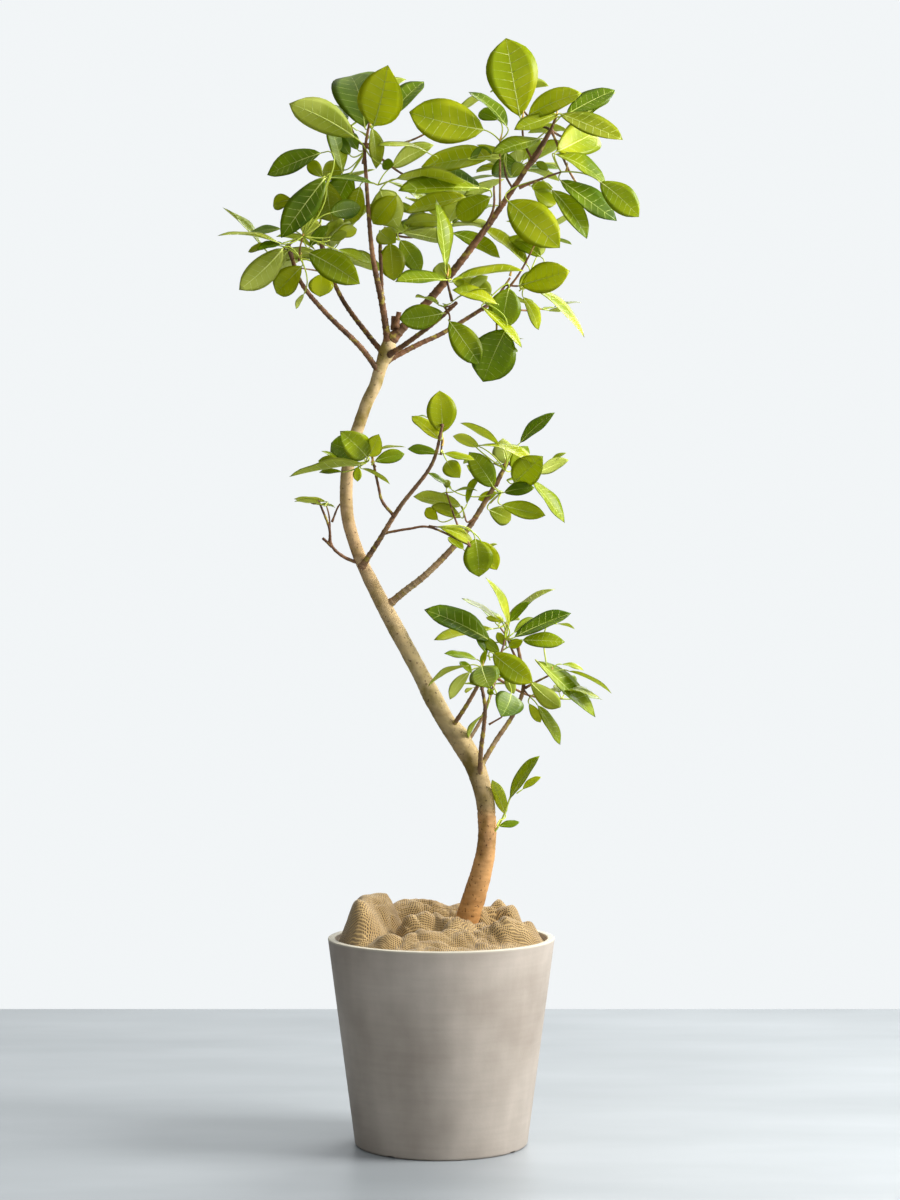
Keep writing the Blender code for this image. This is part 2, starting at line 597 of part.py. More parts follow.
def build_mass(mass, coll):
    middle = seen(*mass.middle)
    tips = [seen(*tip) - middle for tip in mass.tips]
    tips += [seen(*other.middle) - middle for other in MASSES if other.name in mass.beside]
    walls = mass_walls(mass)
    salt = NOISE_STRIDE * (1 + [m.name for m in MASSES].index(mass.name))

    def limited(way, reach):
        for wall, distance in walls:
            lean = wall.dot(way)
            if lean > LEAST_LEAN:
                reach = min(reach, distance / lean)
        return reach

    bm = bmesh.new()
    if mass.fine:
        bmesh.ops.create_icosphere(bm, subdivisions=FINE_STEPS, radius=1.0)
    else:
        bmesh.ops.create_uvsphere(bm, u_segments=COARSE_SEGMENTS, v_segments=COARSE_RINGS, radius=1.0)
    ways = {vert: vert.co.normalized() for vert in bm.verts}
    for tip in tips:
        nearest = max(bm.verts, key=lambda v: ways[v].dot(tip.normalized()))
        ways[nearest] = tip.normalized()
    for vert in bm.verts:
        way = ways[vert]
        base = ellipsoid_reach(mass.half, way) * (1 + UNEVEN * noise.noise(way * UNEVEN_SIZE + salt))
        reach = base
        for tip in tips:
            near = math.exp((way.dot(tip.normalized()) - 1) / LOBE_WIDTH)
            reach = max(reach, base + (tip.length - base) * near)
        vert.co = middle + way * limited(way, reach)
    mesh = bpy.data.meshes.new(mass.name)
    bmesh.ops.triangulate(bm, faces=bm.faces)
    bm.to_mesh(mesh)
    bm.free()
    return add_object(mass.name, mesh, coll, "leaf")


def main():
    clear_scene()
    plant = bpy.data.collections.new("potted_council_tree")
    cutters = bpy.data.collections.new("cutters")
    for coll in (plant, cutters):
        bpy.context.scene.collection.children.link(coll)

    build_planter(plant, cutters)
    build_soil(plant)
    burlap = build_burlap(plant)
    trunk = build_trunk(plant)
    trim(burlap, trunk, cutters)

    made = {"trunk": trunk}
    for mass in MASSES:
        made[mass.name] = build_mass(mass, plant)
    for limb in LIMBS:
        stem = build_limb(limb, plant)
        for other in (limb.host, *limb.clear, limb.into):
            trim(stem, made[other], cutters)
        made[limb.name] = stem
    ends = {limb.name: limb.into for limb in LIMBS}
    for mass in MASSES:
        for name in ("trunk", *ends):
            if ends.get(name) != mass.name and crosses(made[mass.name], made[name]):
                trim(made[mass.name], made[name], cutters)
    bpy.data.collections.remove(cutters)


main()
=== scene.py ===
# %% [markdown]
# A council tree is a fig with broad, glossy oval leaves. This one has a bare trunk that bends like
# an S, boughs that end in tufts of leaves, and a tapered stone-like planter with burlap over the
# soil. The visible pieces could be built anywhere and moved into place afterwards, but then small
# shifts creep in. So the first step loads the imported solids, and each piece is built where the
# solids that it stands in for are.

# %% Load the frame
import math
import random
from collections import defaultdict, namedtuple

import bmesh
import bpy
import numpy as np
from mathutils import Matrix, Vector, noise


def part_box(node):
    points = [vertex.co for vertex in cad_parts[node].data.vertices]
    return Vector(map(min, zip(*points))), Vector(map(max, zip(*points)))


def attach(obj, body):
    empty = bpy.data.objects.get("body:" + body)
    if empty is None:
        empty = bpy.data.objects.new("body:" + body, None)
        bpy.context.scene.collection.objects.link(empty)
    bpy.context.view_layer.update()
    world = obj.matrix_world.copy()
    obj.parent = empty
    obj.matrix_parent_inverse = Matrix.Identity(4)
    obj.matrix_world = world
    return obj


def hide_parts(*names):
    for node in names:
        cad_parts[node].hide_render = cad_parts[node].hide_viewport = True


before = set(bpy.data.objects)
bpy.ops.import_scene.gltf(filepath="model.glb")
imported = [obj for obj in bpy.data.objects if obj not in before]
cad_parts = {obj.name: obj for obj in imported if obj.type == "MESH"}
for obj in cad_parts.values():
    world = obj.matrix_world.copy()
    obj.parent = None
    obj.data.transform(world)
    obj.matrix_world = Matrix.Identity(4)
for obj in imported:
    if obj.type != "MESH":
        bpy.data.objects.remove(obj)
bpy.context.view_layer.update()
print("nodes in the frame:", len(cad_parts))

# %% [markdown]
# The camera stands level with the middle of the plant, about four metres away, so upright lines
# stay upright. A constraint could aim it, but a fixed eye and one plain turn are easier to reckon
# with: a point of the picture and a depth then give one point in space, and a short helper turns
# one into the other. The same eye placed the solids.

# %% The camera and its pixels
EYE = Vector((0.014, -4.17, 0.870))
PICTURE_WIDE = 900
PICTURE_HIGH = 1200
FOCAL_PX = 2602.0
SENSOR_MM = 36.0


def from_picture(px, py, depth):
    """The point in space that shows at a pixel, at a depth behind the planter's axis."""
    far = (depth - EYE.y) / FOCAL_PX
    return Vector((EYE.x + (px - PICTURE_WIDE / 2) * far, depth, EYE.z + (PICTURE_HIGH / 2 - py) * far))


def from_front(x, z, depth):
    """The point at a depth that shows at (x, z) in the upright plane through the planter's axis."""
    flat = Vector((x, 0.0, z))
    return EYE + (flat - EYE) * ((depth - EYE.y) / -EYE.y)


def show(name, data):
    """Puts a mesh, a lamp or a camera in the scene as an object."""
    made = bpy.data.objects.new(name, data)
    bpy.context.scene.collection.objects.link(made)
    return made


camera_data = bpy.data.cameras.new("camera")
camera_data.sensor_width = SENSOR_MM
camera_data.lens = FOCAL_PX / PICTURE_HIGH * SENSOR_MM
camera = show("camera", camera_data)
camera.location = EYE
camera.rotation_euler = (math.radians(90), 0, 0)
bpy.context.scene.camera = camera
bpy.context.scene.view_settings.view_transform = "Standard"
print("lens in mm:", round(camera_data.lens, 2))

# %% [markdown]
# The light is a bright, soft studio. Lamps alone would leave the shadows hard, so most of it comes
# from a pale sky all round, brighter behind and to the right, and dim to the left so that the trunk
# and the planter turn darker on that side. A wide key lamp stands high on the right, one behind
# shines through the leaves, and a weak one fills the front.

# %% Light
# The sky goes from its low to its high strength as a direction turns towards SKY_WAY
SKY_WAY = Vector((0.50, 0.80, 0.34)).normalized()
SKY_LOW = 0.36
SKY_HIGH = 0.93
SKY_TURNS = (-0.9, 0.55)
SKY_TINT = (0.955, 0.985, 1.0)
# To the left the sky keeps only a share of that, between two sideways directions
LEFT_SHARE = 0.05
LEFT_TURNS = (-0.85, -0.30)
Lamp = namedtuple("Lamp", "name place target size watts colour")
LAMPS = (
    Lamp("key", (2.8, -0.6, 2.6), (0.0, 0.0, 0.8), 1.5, 190.0, (1.0, 0.98, 0.95)),
    Lamp("back", (1.2, 2.6, 2.8), (0.0, 0.0, 1.2), 1.8, 80.0, (1.0, 1.0, 0.97)),
    Lamp("fill", (-1.2, -3.8, 2.6), (0.0, 0.0, 1.2), 2.4, 12.0, (1.0, 1.0, 0.98)),
)


def feed(tree, value, socket):
    """Gives an input another node's output, a colour or a number."""
    if isinstance(value, bpy.types.NodeSocket):
        tree.links.new(value, socket)
    elif isinstance(value, tuple) and len(socket.default_value) == 4:
        socket.default_value = (*value, 1.0)
    else:
        socket.default_value = value


def add_node(tree, kind, inputs, **options):
    """Adds a node with its options, and feeds its inputs by name or number."""
    made = tree.nodes.new("ShaderNode" + kind)
    for option, value in options.items():
        setattr(made, option, value)
    for socket, value in inputs.items():
        feed(tree, value, made.inputs[socket])
    return made


def range_node(tree, value, start, end, low=0.0, high=1.0):
    """A value that goes from low to high while another goes from start to end."""
    inputs = {"Value": value, "From Min": start, "From Max": end, "To Min": low, "To Max": high}
    return add_node(tree, "MapRange", inputs).outputs["Result"]


world = bpy.data.worlds.new("studio")
bpy.context.scene.world = world
world.use_nodes = True
sky = world.node_tree
sky_place = add_node(sky, "TexCoord", {}).outputs["Generated"]
sky_turn = add_node(sky, "VectorMath", {0: sky_place, 1: SKY_WAY}, operation="DOT_PRODUCT").outputs["Value"]
sky_glow = range_node(sky, sky_turn, *SKY_TURNS, SKY_LOW, SKY_HIGH)
sky_side = add_node(sky, "SeparateXYZ", {0: sky_place}).outputs["X"]
sky_dim = range_node(sky, sky_side, *LEFT_TURNS, LEFT_SHARE, 1.0)
sky_strength = add_node(sky, "Math", {0: sky_glow, 1: sky_dim}, operation="MULTIPLY").outputs[0]
feed(sky, sky_strength, sky.nodes["Background"].inputs["Strength"])
feed(sky, SKY_TINT, sky.nodes["Background"].inputs["Color"])

for lamp in LAMPS:
    lamp_data = bpy.data.lights.new(lamp.name, "AREA")
    lamp_data.size = lamp.size
    lamp_data.energy = lamp.watts
    lamp_data.color = lamp.colour
    stand = show(lamp.name, lamp_data)
    stand.location = lamp.place
    aim = Vector(lamp.target) - Vector(lamp.place)
    stand.rotation_euler = aim.to_track_quat("-Z", "Y").to_euler()
print("lamps:", len(LAMPS))

# %% [markdown]
# The plant stands on a smooth, pale floor, which is a stage and no part of it. One flat square is
# enough. Its grey drifts a little by noise: an image could do that too, but noise needs no file and
# never repeats. The same few helpers make most finishes of the plant: a Principled surface whose
# base colour is a noise, turned into colours by a ramp.

# %% Floor
FLOOR_HALF = 1.365
FLOOR_TONES = ((0.3, (0.285, 0.310, 0.330)), (0.7, (0.350, 0.378, 0.400)))
EVEN = (1.0, 1.0, 1.0)


def new_material(name, roughness):
    """A material with nodes, its tree and its Principled shader."""
    made = bpy.data.materials.new(name)
    made.use_nodes = True
    shader = made.node_tree.nodes["Principled BSDF"]
    shader.inputs["Roughness"].default_value = roughness
    return made, made.node_tree, shader


def object_place(tree, stretch=EVEN):
    """The object's own coordinates, stretched."""
    where = add_node(tree, "TexCoord", {}).outputs["Object"]
    return add_node(tree, "VectorMath", {0: where, 1: stretch}, operation="MULTIPLY").outputs[0]


def noise_node(tree, scale, detail, stretch=EVEN):
    """A noise value over the object."""
    inputs = {"Scale": scale, "Detail": detail, "Vector": object_place(tree, stretch)}
    return add_node(tree, "TexNoise", inputs).outputs["Fac"]


def ramp_node(tree, value, stops):
    """Turns a value into a colour by (place, colour) stops."""
    made = add_node(tree, "ValToRGB", {"Fac": value})
    ramp = made.color_ramp
    while len(ramp.elements) < len(stops):
        ramp.elements.new(1.0)
    for element, (place, colour) in zip(ramp.elements, stops):
        element.position = place
        element.color = (*colour, 1.0)
    return made.outputs["Color"]


def clouds(tree, scale, detail, stops, stretch=EVEN):
    """Colours that drift over the object by noise."""
    return ramp_node(tree, noise_node(tree, scale, detail, stretch), stops)


def clouded_material(name, roughness, scale, detail, stops, stretch=EVEN):
    """A plain finish whose base colour is clouds."""
    made, tree, shader = new_material(name, roughness)
    feed(tree, clouds(tree, scale, detail, stops, stretch), shader.inputs["Base Color"])
    return made


def mesh_of(name, bm):
    """Turns a bmesh into mesh data."""
    mesh = bpy.data.meshes.new(name)
    bm.to_mesh(mesh)
    bm.free()
    return mesh


floor_bm = bmesh.new()
bmesh.ops.create_grid(floor_bm, x_segments=1, y_segments=1, size=FLOOR_HALF)
floor = show("floor", mesh_of("floor", floor_bm))
floor.data.materials.append(clouded_material("pale_floor", 0.42, 1.6, 3.0, FLOOR_TONES, (1.0, 3.0, 1.0)))
print("floor side in m:", 2 * FLOOR_HALF)

# %% [markdown]
# The planter is a tapered shell with a flat lip and slightly rounded edges. A cylinder could be
# scaled at its foot, but its edges would stay sharp. Here half of its outline is drawn once, from
# the inner floor over the lip and down to the foot, and the Screw modifier turns it about the
# axis. Many steps keep the rim round from close by.

# %% Planter shell
PLANTER_HEIGHT = 0.330
RIM_RADIUS = 0.1815
FOOT_RADIUS = 0.1386
WALL = 0.0115
FLOOR_THICK = 0.014
FOOT_ROUND = 0.005
FOOT_STEPS = 6
LIP_ROUND = 0.0018
LIP_STEPS = 4
TURN_STEPS = 192
WELD = 0.00001


def arc(middle, radius, start, end, steps):
    """Points of (radius, height) along an arc, by angles in degrees."""
    angles = [math.radians(start + (end - start) * i / steps) for i in range(steps + 1)]
    return [(middle[0] + radius * math.cos(a), middle[1] + radius * math.sin(a)) for a in angles]


def inner_radius(z):
    """How far the planter's inner face is from its axis at a height."""
    return FOOT_RADIUS + (RIM_RADIUS - FOOT_RADIUS) * z / PLANTER_HEIGHT - WALL


def baked(thing):
    """The mesh of an object with its modifiers in it."""
    return bpy.data.meshes.new_from_object(thing.evaluated_get(bpy.context.evaluated_depsgraph_get()))


def turned_mesh(name, outline):
    """An outline of (radius, height) points turned about the axis."""
    bm = bmesh.new()
    row = [bm.verts.new((radius, 0.0, height)) for radius, height in outline]
    for first, second in zip(row, row[1:]):
        bm.edges.new((first, second))
    guide = show(name + "_guide", mesh_of(name, bm))
    screw = guide.modifiers.new("turn", "SCREW")
    screw.steps = TURN_STEPS
    screw.render_steps = TURN_STEPS
    screw.use_merge_vertices = True
    screw.merge_threshold = WELD
    solid = baked(guide)
    bpy.data.objects.remove(guide)
    return solid


lip_height = PLANTER_HEIGHT - LIP_ROUND
outline = [(0.0, FLOOR_THICK), (inner_radius(FLOOR_THICK), FLOOR_THICK)]
outline += arc((RIM_RADIUS - WALL + LIP_ROUND, lip_height), LIP_ROUND, 180, 90, LIP_STEPS)
outline += arc((RIM_RADIUS - LIP_ROUND, lip_height), LIP_ROUND, 90, 0, LIP_STEPS)
outline += arc((FOOT_RADIUS - FOOT_ROUND, FOOT_ROUND), FOOT_ROUND, 0, -90, FOOT_STEPS)
outline += [(0.0, 0.0)]
blank = show("planter_blank", turned_mesh("planter_blank", outline))
print("points in the planter's outline:", len(outline))

# %% [markdown]
# Four small notches in the foot let water and air out from under the planter. They could be left to
# a dark patch of paint, but they show at the outline, so a Boolean takes four flat blocks out of
# the shell.

# %% Foot notches
NOTCH_WIDTH = 0.014
NOTCH_HEIGHT = 0.003
NOTCH_DEPTH = 0.020
NOTCH_COUNT = 4
NOTCH_TURN = math.radians(-125)
SHARP_ANGLE = math.radians(40)

notch_bm = bmesh.new()
for k in range(NOTCH_COUNT):
    turn = NOTCH_TURN + 2 * math.pi * k / NOTCH_COUNT
    for vert in bmesh.ops.create_cube(notch_bm, size=1.0)["verts"]:
        along = vert.co.x * NOTCH_DEPTH + FOOT_RADIUS
        across = vert.co.y * NOTCH_WIDTH
        vert.co = Vector((along * math.cos(turn) - across * math.sin(turn),
                          along * math.sin(turn) + across * math.cos(turn), vert.co.z * 2 * NOTCH_HEIGHT))
notches = show("notches", mesh_of("notches", notch_bm))
cut = blank.modifiers.new("cut", "BOOLEAN")
cut.operation = "DIFFERENCE"
cut.object = notches
planter_mesh = baked(blank)
bpy.data.objects.remove(blank)
bpy.data.objects.remove(notches)
planter_mesh.shade_smooth()
planter_mesh.set_sharp_from_angle(angle=SHARP_ANGLE)
print("planter faces:", len(planter_mesh.polygons))

# %% [markdown]
# The finish of the planter is a fine cement skin: cloudy taupe, with faint brush marks round it and
# down it, and a paler lip. One flat colour would look like plastic. The brush marks are noises that
# are stretched one way, and each shades the colour by multiplying it. The lip is picked out by its
# height, and a fine bump keeps the gloss from being even.

# %% Planter finish
STONE_TONES = ((0.30, (0.330, 0.282, 0.238)), (0.72, (0.510, 0.455, 0.400)))
LIP_TONE = (0.56, 0.52, 0.42)
# How far under the top the lip's tone starts, and how far under it is full
LIP_START = 0.0035
LIP_FULL = 0.0005


def mix_node(tree, factor, first, second, blend="MIX"):
    """Mixes two colours, each a socket or a plain colour, by a socket or a number."""
    inputs = {0: factor, 6: first, 7: second}
    return add_node(tree, "Mix", inputs, data_type="RGBA", blend_type=blend).outputs[2]


def shaded(tree, colour, *shades):
    """A colour with shades multiplied over it, one after the other."""
    for shade in shades:
        colour = mix_node(tree, 1.0, colour, shade, "MULTIPLY")
    return colour


def height_share(tree, low, high):
    """0 below one height of the object, 1 above another, and even between them."""
    height = add_node(tree, "SeparateXYZ", {0: object_place(tree)}).outputs["Z"]
    return range_node(tree, height, low, high)


def bump_node(tree, shader, height, strength, distance):
    """Roughens the surface by a height."""
    made = add_node(tree, "Bump", {"Strength": strength, "Distance": distance, "Height": height})
    feed(tree, made.outputs["Normal"], shader.inputs["Normal"])


def add_piece(name, mesh, materials):
    """Puts a mesh in the scene as a piece of the plant."""
    for material in materials:
        mesh.materials.append(material)
    made = show(name, mesh)
    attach(made, "root")
    return made


stone, stone_tree, stone_shader = new_material("cement_skin", 0.62)
brush_round = mix_node(stone_tree, noise_node(stone_tree, 9.0, 6.0, (1.0, 1.0, 14.0)),
                       (0.90, 0.89, 0.88), (1.08, 1.07, 1.06))
brush_down = mix_node(stone_tree, noise_node(stone_tree, 34.0, 3.0, (1.0, 1.0, 0.12)),
                      (0.86, 0.86, 0.85), (1.12, 1.12, 1.12))
stone_colour = shaded(stone_tree, clouds(stone_tree, 7.0, 5.0, STONE_TONES), brush_round, brush_down)
lip_share = height_share(stone_tree, PLANTER_HEIGHT - LIP_START, PLANTER_HEIGHT - LIP_FULL)
feed(stone_tree, mix_node(stone_tree, lip_share, stone_colour, LIP_TONE), stone_shader.inputs["Base Color"])
bump_node(stone_tree, stone_shader, noise_node(stone_tree, 240.0, 4.0), 0.25, 0.0006)
planter_mesh.materials.clear()
planter = add_piece("planter_shell", planter_mesh, [stone])
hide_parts("planter")
print("nodes in the cement skin:", len(stone_tree.nodes))

# %% [markdown]
# Moist potting mix fills the planter under the burlap. Loose crumbs could be scattered over it, but
# almost nothing of it shows, so its solid stays as it is and only takes a crumbly dark finish.

# %% Soil
EARTH_TONES = ((0.35, (0.012, 0.008, 0.005)), (0.7, (0.075, 0.050, 0.032)))
earth, earth_tree, earth_shader = new_material("moist_mix", 0.95)
crumbs = noise_node(earth_tree, 160.0, 6.0)
feed(earth_tree, ramp_node(earth_tree, crumbs, EARTH_TONES), earth_shader.inputs["Base Color"])
bump_node(earth_tree, earth_shader, crumbs, 0.8, 0.003)
soil_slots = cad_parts["soil"].material_slots
for slot in soil_slots:
    slot.material = earth
print("soil slots:", len(soil_slots))

# %% [markdown]
# The burlap is one coarse jute cloth, pushed into rolls round the foot of the trunk and tucked in
# at the rim. A cloth simulation would lose the rolls that the real one was pressed into. The cloth
# is a round grid instead, which rises over a few ridges, each a short line with its own height and
# width. Small folds run out from a few points, and one dent sinks in.

# %% Ridges and folds of the burlap
# A ridge of the cloth: its line in plan, how high it stands over the edge and how wide it is
Ridge = namedtuple("Ridge", "line rise wide")
RIDGES = (
    Ridge(((-0.128, -0.045), (-0.124, 0.000), (-0.100, 0.040)), 0.068, 0.036),
    Ridge(((-0.095, 0.050), (-0.030, 0.072), (0.020, 0.062)), 0.052, 0.034),
    Ridge(((-0.050, -0.030), (-0.010, -0.022), (0.010, -0.030)), 0.046, 0.024),
    Ridge(((-0.085, -0.100), (-0.030, -0.082), (0.030, -0.080)), 0.024, 0.026),
    Ridge(((0.020, -0.055), (0.045, -0.030), (0.062, -0.030)), 0.036, 0.026),
    Ridge(((0.062, 0.020), (0.090, 0.030), (0.110, 0.020)), 0.056, 0.026),
    Ridge(((0.070, -0.045), (0.105, -0.050), (0.140, -0.035)), 0.034, 0.026),
    Ridge(((0.030, 0.110), (0.090, 0.090)), 0.036, 0.034),
    Ridge(((-0.060, 0.120), (-0.010, 0.130)), 0.030, 0.030),
)
# Folds that run out from a point: how many, how high, how far out, and how much they twist
Fold = namedtuple("Fold", "x y count rise reach twist")
FOLDS = (
    Fold(0.035, 0.000, 4, 0.0050, 0.060, 45.0),
    Fold(-0.112, -0.012, 4, 0.0035, 0.040, -30.0),
    Fold(0.095, -0.005, 4, 0.0035, 0.044, 40.0),
    Fold(-0.010, 0.090, 4, 0.0035, 0.045, 30.0),
)
# How wide the band of folds round a point is, as a share of its reach
FOLD_BAND = 0.7
# The dent in front of the left roll
Dent = namedtuple("Dent", "x y deep wide")
DENT = Dent(-0.066, -0.062, 0.030, 0.032)
print("ridges:", len(RIDGES), "points with folds:", len(FOLDS))

# %% [markdown]
# The heights follow from the table: each place takes the highest ridge near it, then its folds, the
# dent and the creases. The creases could be drawn one by one, but loose cloth has too many. Noise
# makes them in three sizes: soft swellings, lumps with sharp valleys between them, and a fine
# roughness.

# %% Burlap shape
BURLAP_EDGE = 0.319
EDGE_GAP = 0.0015
BURLAP_REACH = inner_radius(BURLAP_EDGE) - EDGE_GAP
BURLAP_RINGS = 150
BURLAP_TURNS = 320
# Above one it would crowd the rings at the middle, and below one it crowds them at the rim
RING_POWER = 0.8
# How steep the sides of a ridge are
RIDGE_POWER = 2.4
# Each kind of crease: how fine its noise is and how far it moves the cloth
SOFT_CREASE = (20, 0.0080)
VALLEY_CREASE = (38, 0.0100)
FINE_CREASE = (130, 0.0016)
# The creases pull some of the cloth down, so all of it is lifted by this, up to a height over its solid
CLOTH_LIFT = 0.007
CLOTH_OVER = 0.004
# How sharply the cloth comes down to its edge
EDGE_POWER = 14


def line_distance(x, y, line):
    """How far each place is from a line in plan."""
    best = np.full(x.shape, np.inf)
    for (ax, ay), (bx, by) in zip(line, line[1:]):
        span = (bx - ax) ** 2 + (by - ay) ** 2
        t = np.clip(((x - ax) * (bx - ax) + (y - ay) * (by - ay)) / span, 0, 1)
        best = np.minimum(best, np.hypot(x - ax - t * (bx - ax), y - ay - t * (by - ay)))
    return best


def crease(spot):
    """How far the noises lift the cloth at a place."""
    soft = noise.noise(spot * SOFT_CREASE[0]) * SOFT_CREASE[1]
    valley = abs(noise.noise(spot * VALLEY_CREASE[0])) * VALLEY_CREASE[1]
    fine = noise.noise(spot * FINE_CREASE[0]) * FINE_CREASE[1]
    return soft + valley + fine


def cloth_rise(x, y):
    """How high the cloth stands over its edge at each place of its plan."""
    z = np.zeros(x.shape)
    for ridge in RIDGES:
        away = line_distance(x, y, ridge.line) / ridge.wide
        z = np.maximum(z, ridge.rise * np.exp(-away ** RIDGE_POWER))
    for fold in FOLDS:
        around = np.arctan2(y - fold.y, x - fold.x)
        off = np.hypot(x - fold.x, y - fold.y)
        bell = np.exp(-((off - fold.reach) / (FOLD_BAND * fold.reach)) ** 2)
        z += fold.rise * bell * np.sin(fold.count * around + fold.twist * off)
    z -= DENT.deep * np.exp(-((x - DENT.x) ** 2 + (y - DENT.y) ** 2) / DENT.wide ** 2)
    for place in np.ndindex(z.shape):
        z[place] += crease(Vector((x[place], y[place], z[place])))
    return z


turn_angles = np.arange(BURLAP_TURNS) * 2 * math.pi / BURLAP_TURNS
ring_radii = BURLAP_REACH * (np.arange(1, BURLAP_RINGS + 1) / BURLAP_RINGS) ** RING_POWER
cloth_x = np.outer(ring_radii, np.cos(turn_angles))
cloth_y = np.outer(ring_radii, np.sin(turn_angles))
edge_fade = 1 - np.clip(np.hypot(cloth_x, cloth_y) / BURLAP_REACH, 0, 1) ** EDGE_POWER
cloth_z = BURLAP_EDGE + (cloth_rise(cloth_x, cloth_y) + CLOTH_LIFT) * edge_fade
cloth_z = np.minimum(cloth_z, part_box("burlap")[1][2] + CLOTH_OVER)
print("cloth from", round(float(cloth_z.min()), 3), "to", round(float(cloth_z.max()), 3))

# %% [markdown]
# The heights become one open sheet: a fan of triangles at the middle and rings of quads round it.
# A weave that is laid on in the object's own coordinates would smear on steep rolls, so each point
# also gets its place on the flat cloth, found by adding up the way along the cloth from its middle.

# %% Burlap mesh
burlap_bm = bmesh.new()
middle = burlap_bm.verts.new((0, 0, float(cloth_z[0].mean())))
rows = [[burlap_bm.verts.new(spot) for spot in zip(*ring)] for ring in zip(cloth_x, cloth_y, cloth_z)]
for j in range(BURLAP_TURNS):
    k = (j + 1) % BURLAP_TURNS
    burlap_bm.faces.new((middle, rows[0][j], rows[0][k]))
    for inner, outer in zip(rows, rows[1:]):
        burlap_bm.faces.new((inner[j], outer[j], outer[k], inner[k]))
burlap_mesh = mesh_of("burlap_cloth", burlap_bm)
rise_steps = np.diff(cloth_z, axis=0, prepend=cloth_z[:1])
ring_steps = np.diff(ring_radii, prepend=0.0)[:, None]
cloth_reach = np.cumsum(np.hypot(rise_steps, ring_steps), axis=0)
flat_cloth = np.zeros((BURLAP_RINGS * BURLAP_TURNS + 1, 3))
flat_cloth[1:, 0] = (cloth_reach * np.cos(turn_angles)).ravel()
flat_cloth[1:, 1] = (cloth_reach * np.sin(turn_angles)).ravel()
cloth_layer = burlap_mesh.attributes.new("cloth", "FLOAT_VECTOR", "POINT")
cloth_layer.data.foreach_set("vector", flat_cloth.ravel())
burlap_mesh.shade_smooth()
print("cloth points:", len(burlap_mesh.vertices))

# %% [markdown]
# The weave is two crossed sets of thick, uneven jute threads with dark gaps between them. Threads
# made of mesh would cost millions of faces. Two bands of a wave texture, one turned by a right
# angle, make them instead, bent a little by noise as a loose cloth is. They colour the cloth and
# raise it through a bump.

# %% Burlap weave
THREAD = 0.0034
# A wave texture turns this many radians in one unit
WAVE_RADIANS = 20
BEND_SCALE = 14.0
BEND_REACH = (0.024, 0.024, 0.024)
JUTE_TONES = ((0.3, (0.300, 0.190, 0.066)), (0.7, (0.520, 0.362, 0.160)))
GAP_TONES = ((0.36, (0.10, 0.07, 0.04)), (0.84, (1.12, 1.10, 1.04)))


def thread_bands(tree, turn_deg):
    """Bands of threads that run one way over the cloth, bent a little by noise."""
    bend = add_node(tree, "TexNoise", {"Scale": BEND_SCALE, "Vector": object_place(tree)}).outputs["Color"]
    cloth = add_node(tree, "Attribute", {}, attribute_name="cloth").outputs["Vector"]
    inputs = {0: bend, 1: BEND_REACH, 2: cloth}
    bent = add_node(tree, "VectorMath", inputs, operation="MULTIPLY_ADD").outputs[0]
    inputs = {"Vector": bent, "Axis": (0, 0, 1), "Angle": math.radians(turn_deg)}
    turned = add_node(tree, "VectorRotate", inputs).outputs[0]
    inputs = {"Vector": turned, "Scale": 2 * math.pi / WAVE_RADIANS / THREAD, "Distortion": 1.2}
    return add_node(tree, "TexWave", inputs, wave_profile="SIN", bands_direction="X").outputs["Fac"]


jute, jute_tree, jute_shader = new_material("jute_weave", 0.9)
threads = {0: thread_bands(jute_tree, 0), 1: thread_bands(jute_tree, 90)}
woven = add_node(jute_tree, "Math", threads, operation="MAXIMUM").outputs[0]
jute_gaps = ramp_node(jute_tree, woven, GAP_TONES)
jute_colour = shaded(jute_tree, clouds(jute_tree, 22.0, 5.0, JUTE_TONES), jute_gaps)
feed(jute_tree, jute_colour, jute_shader.inputs["Base Color"])
jute_shader.inputs["Sheen Weight"].default_value = 0.25
bump_node(jute_tree, jute_shader, woven, 0.7, 0.0012)
burlap = add_piece("burlap_cloth", burlap_mesh, [jute])
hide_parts("burlap")
print("nodes in the weave:", len(jute_tree.nodes))

# %% [markdown]
# The trunk leans, bends like an S and thins as it climbs. A few wide bends could be set by eye, but
# the bends make this plant's likeness. So its middle and its radius are given at many heights, the
# same ones that its solid has, with the flare of the roots at the foot.

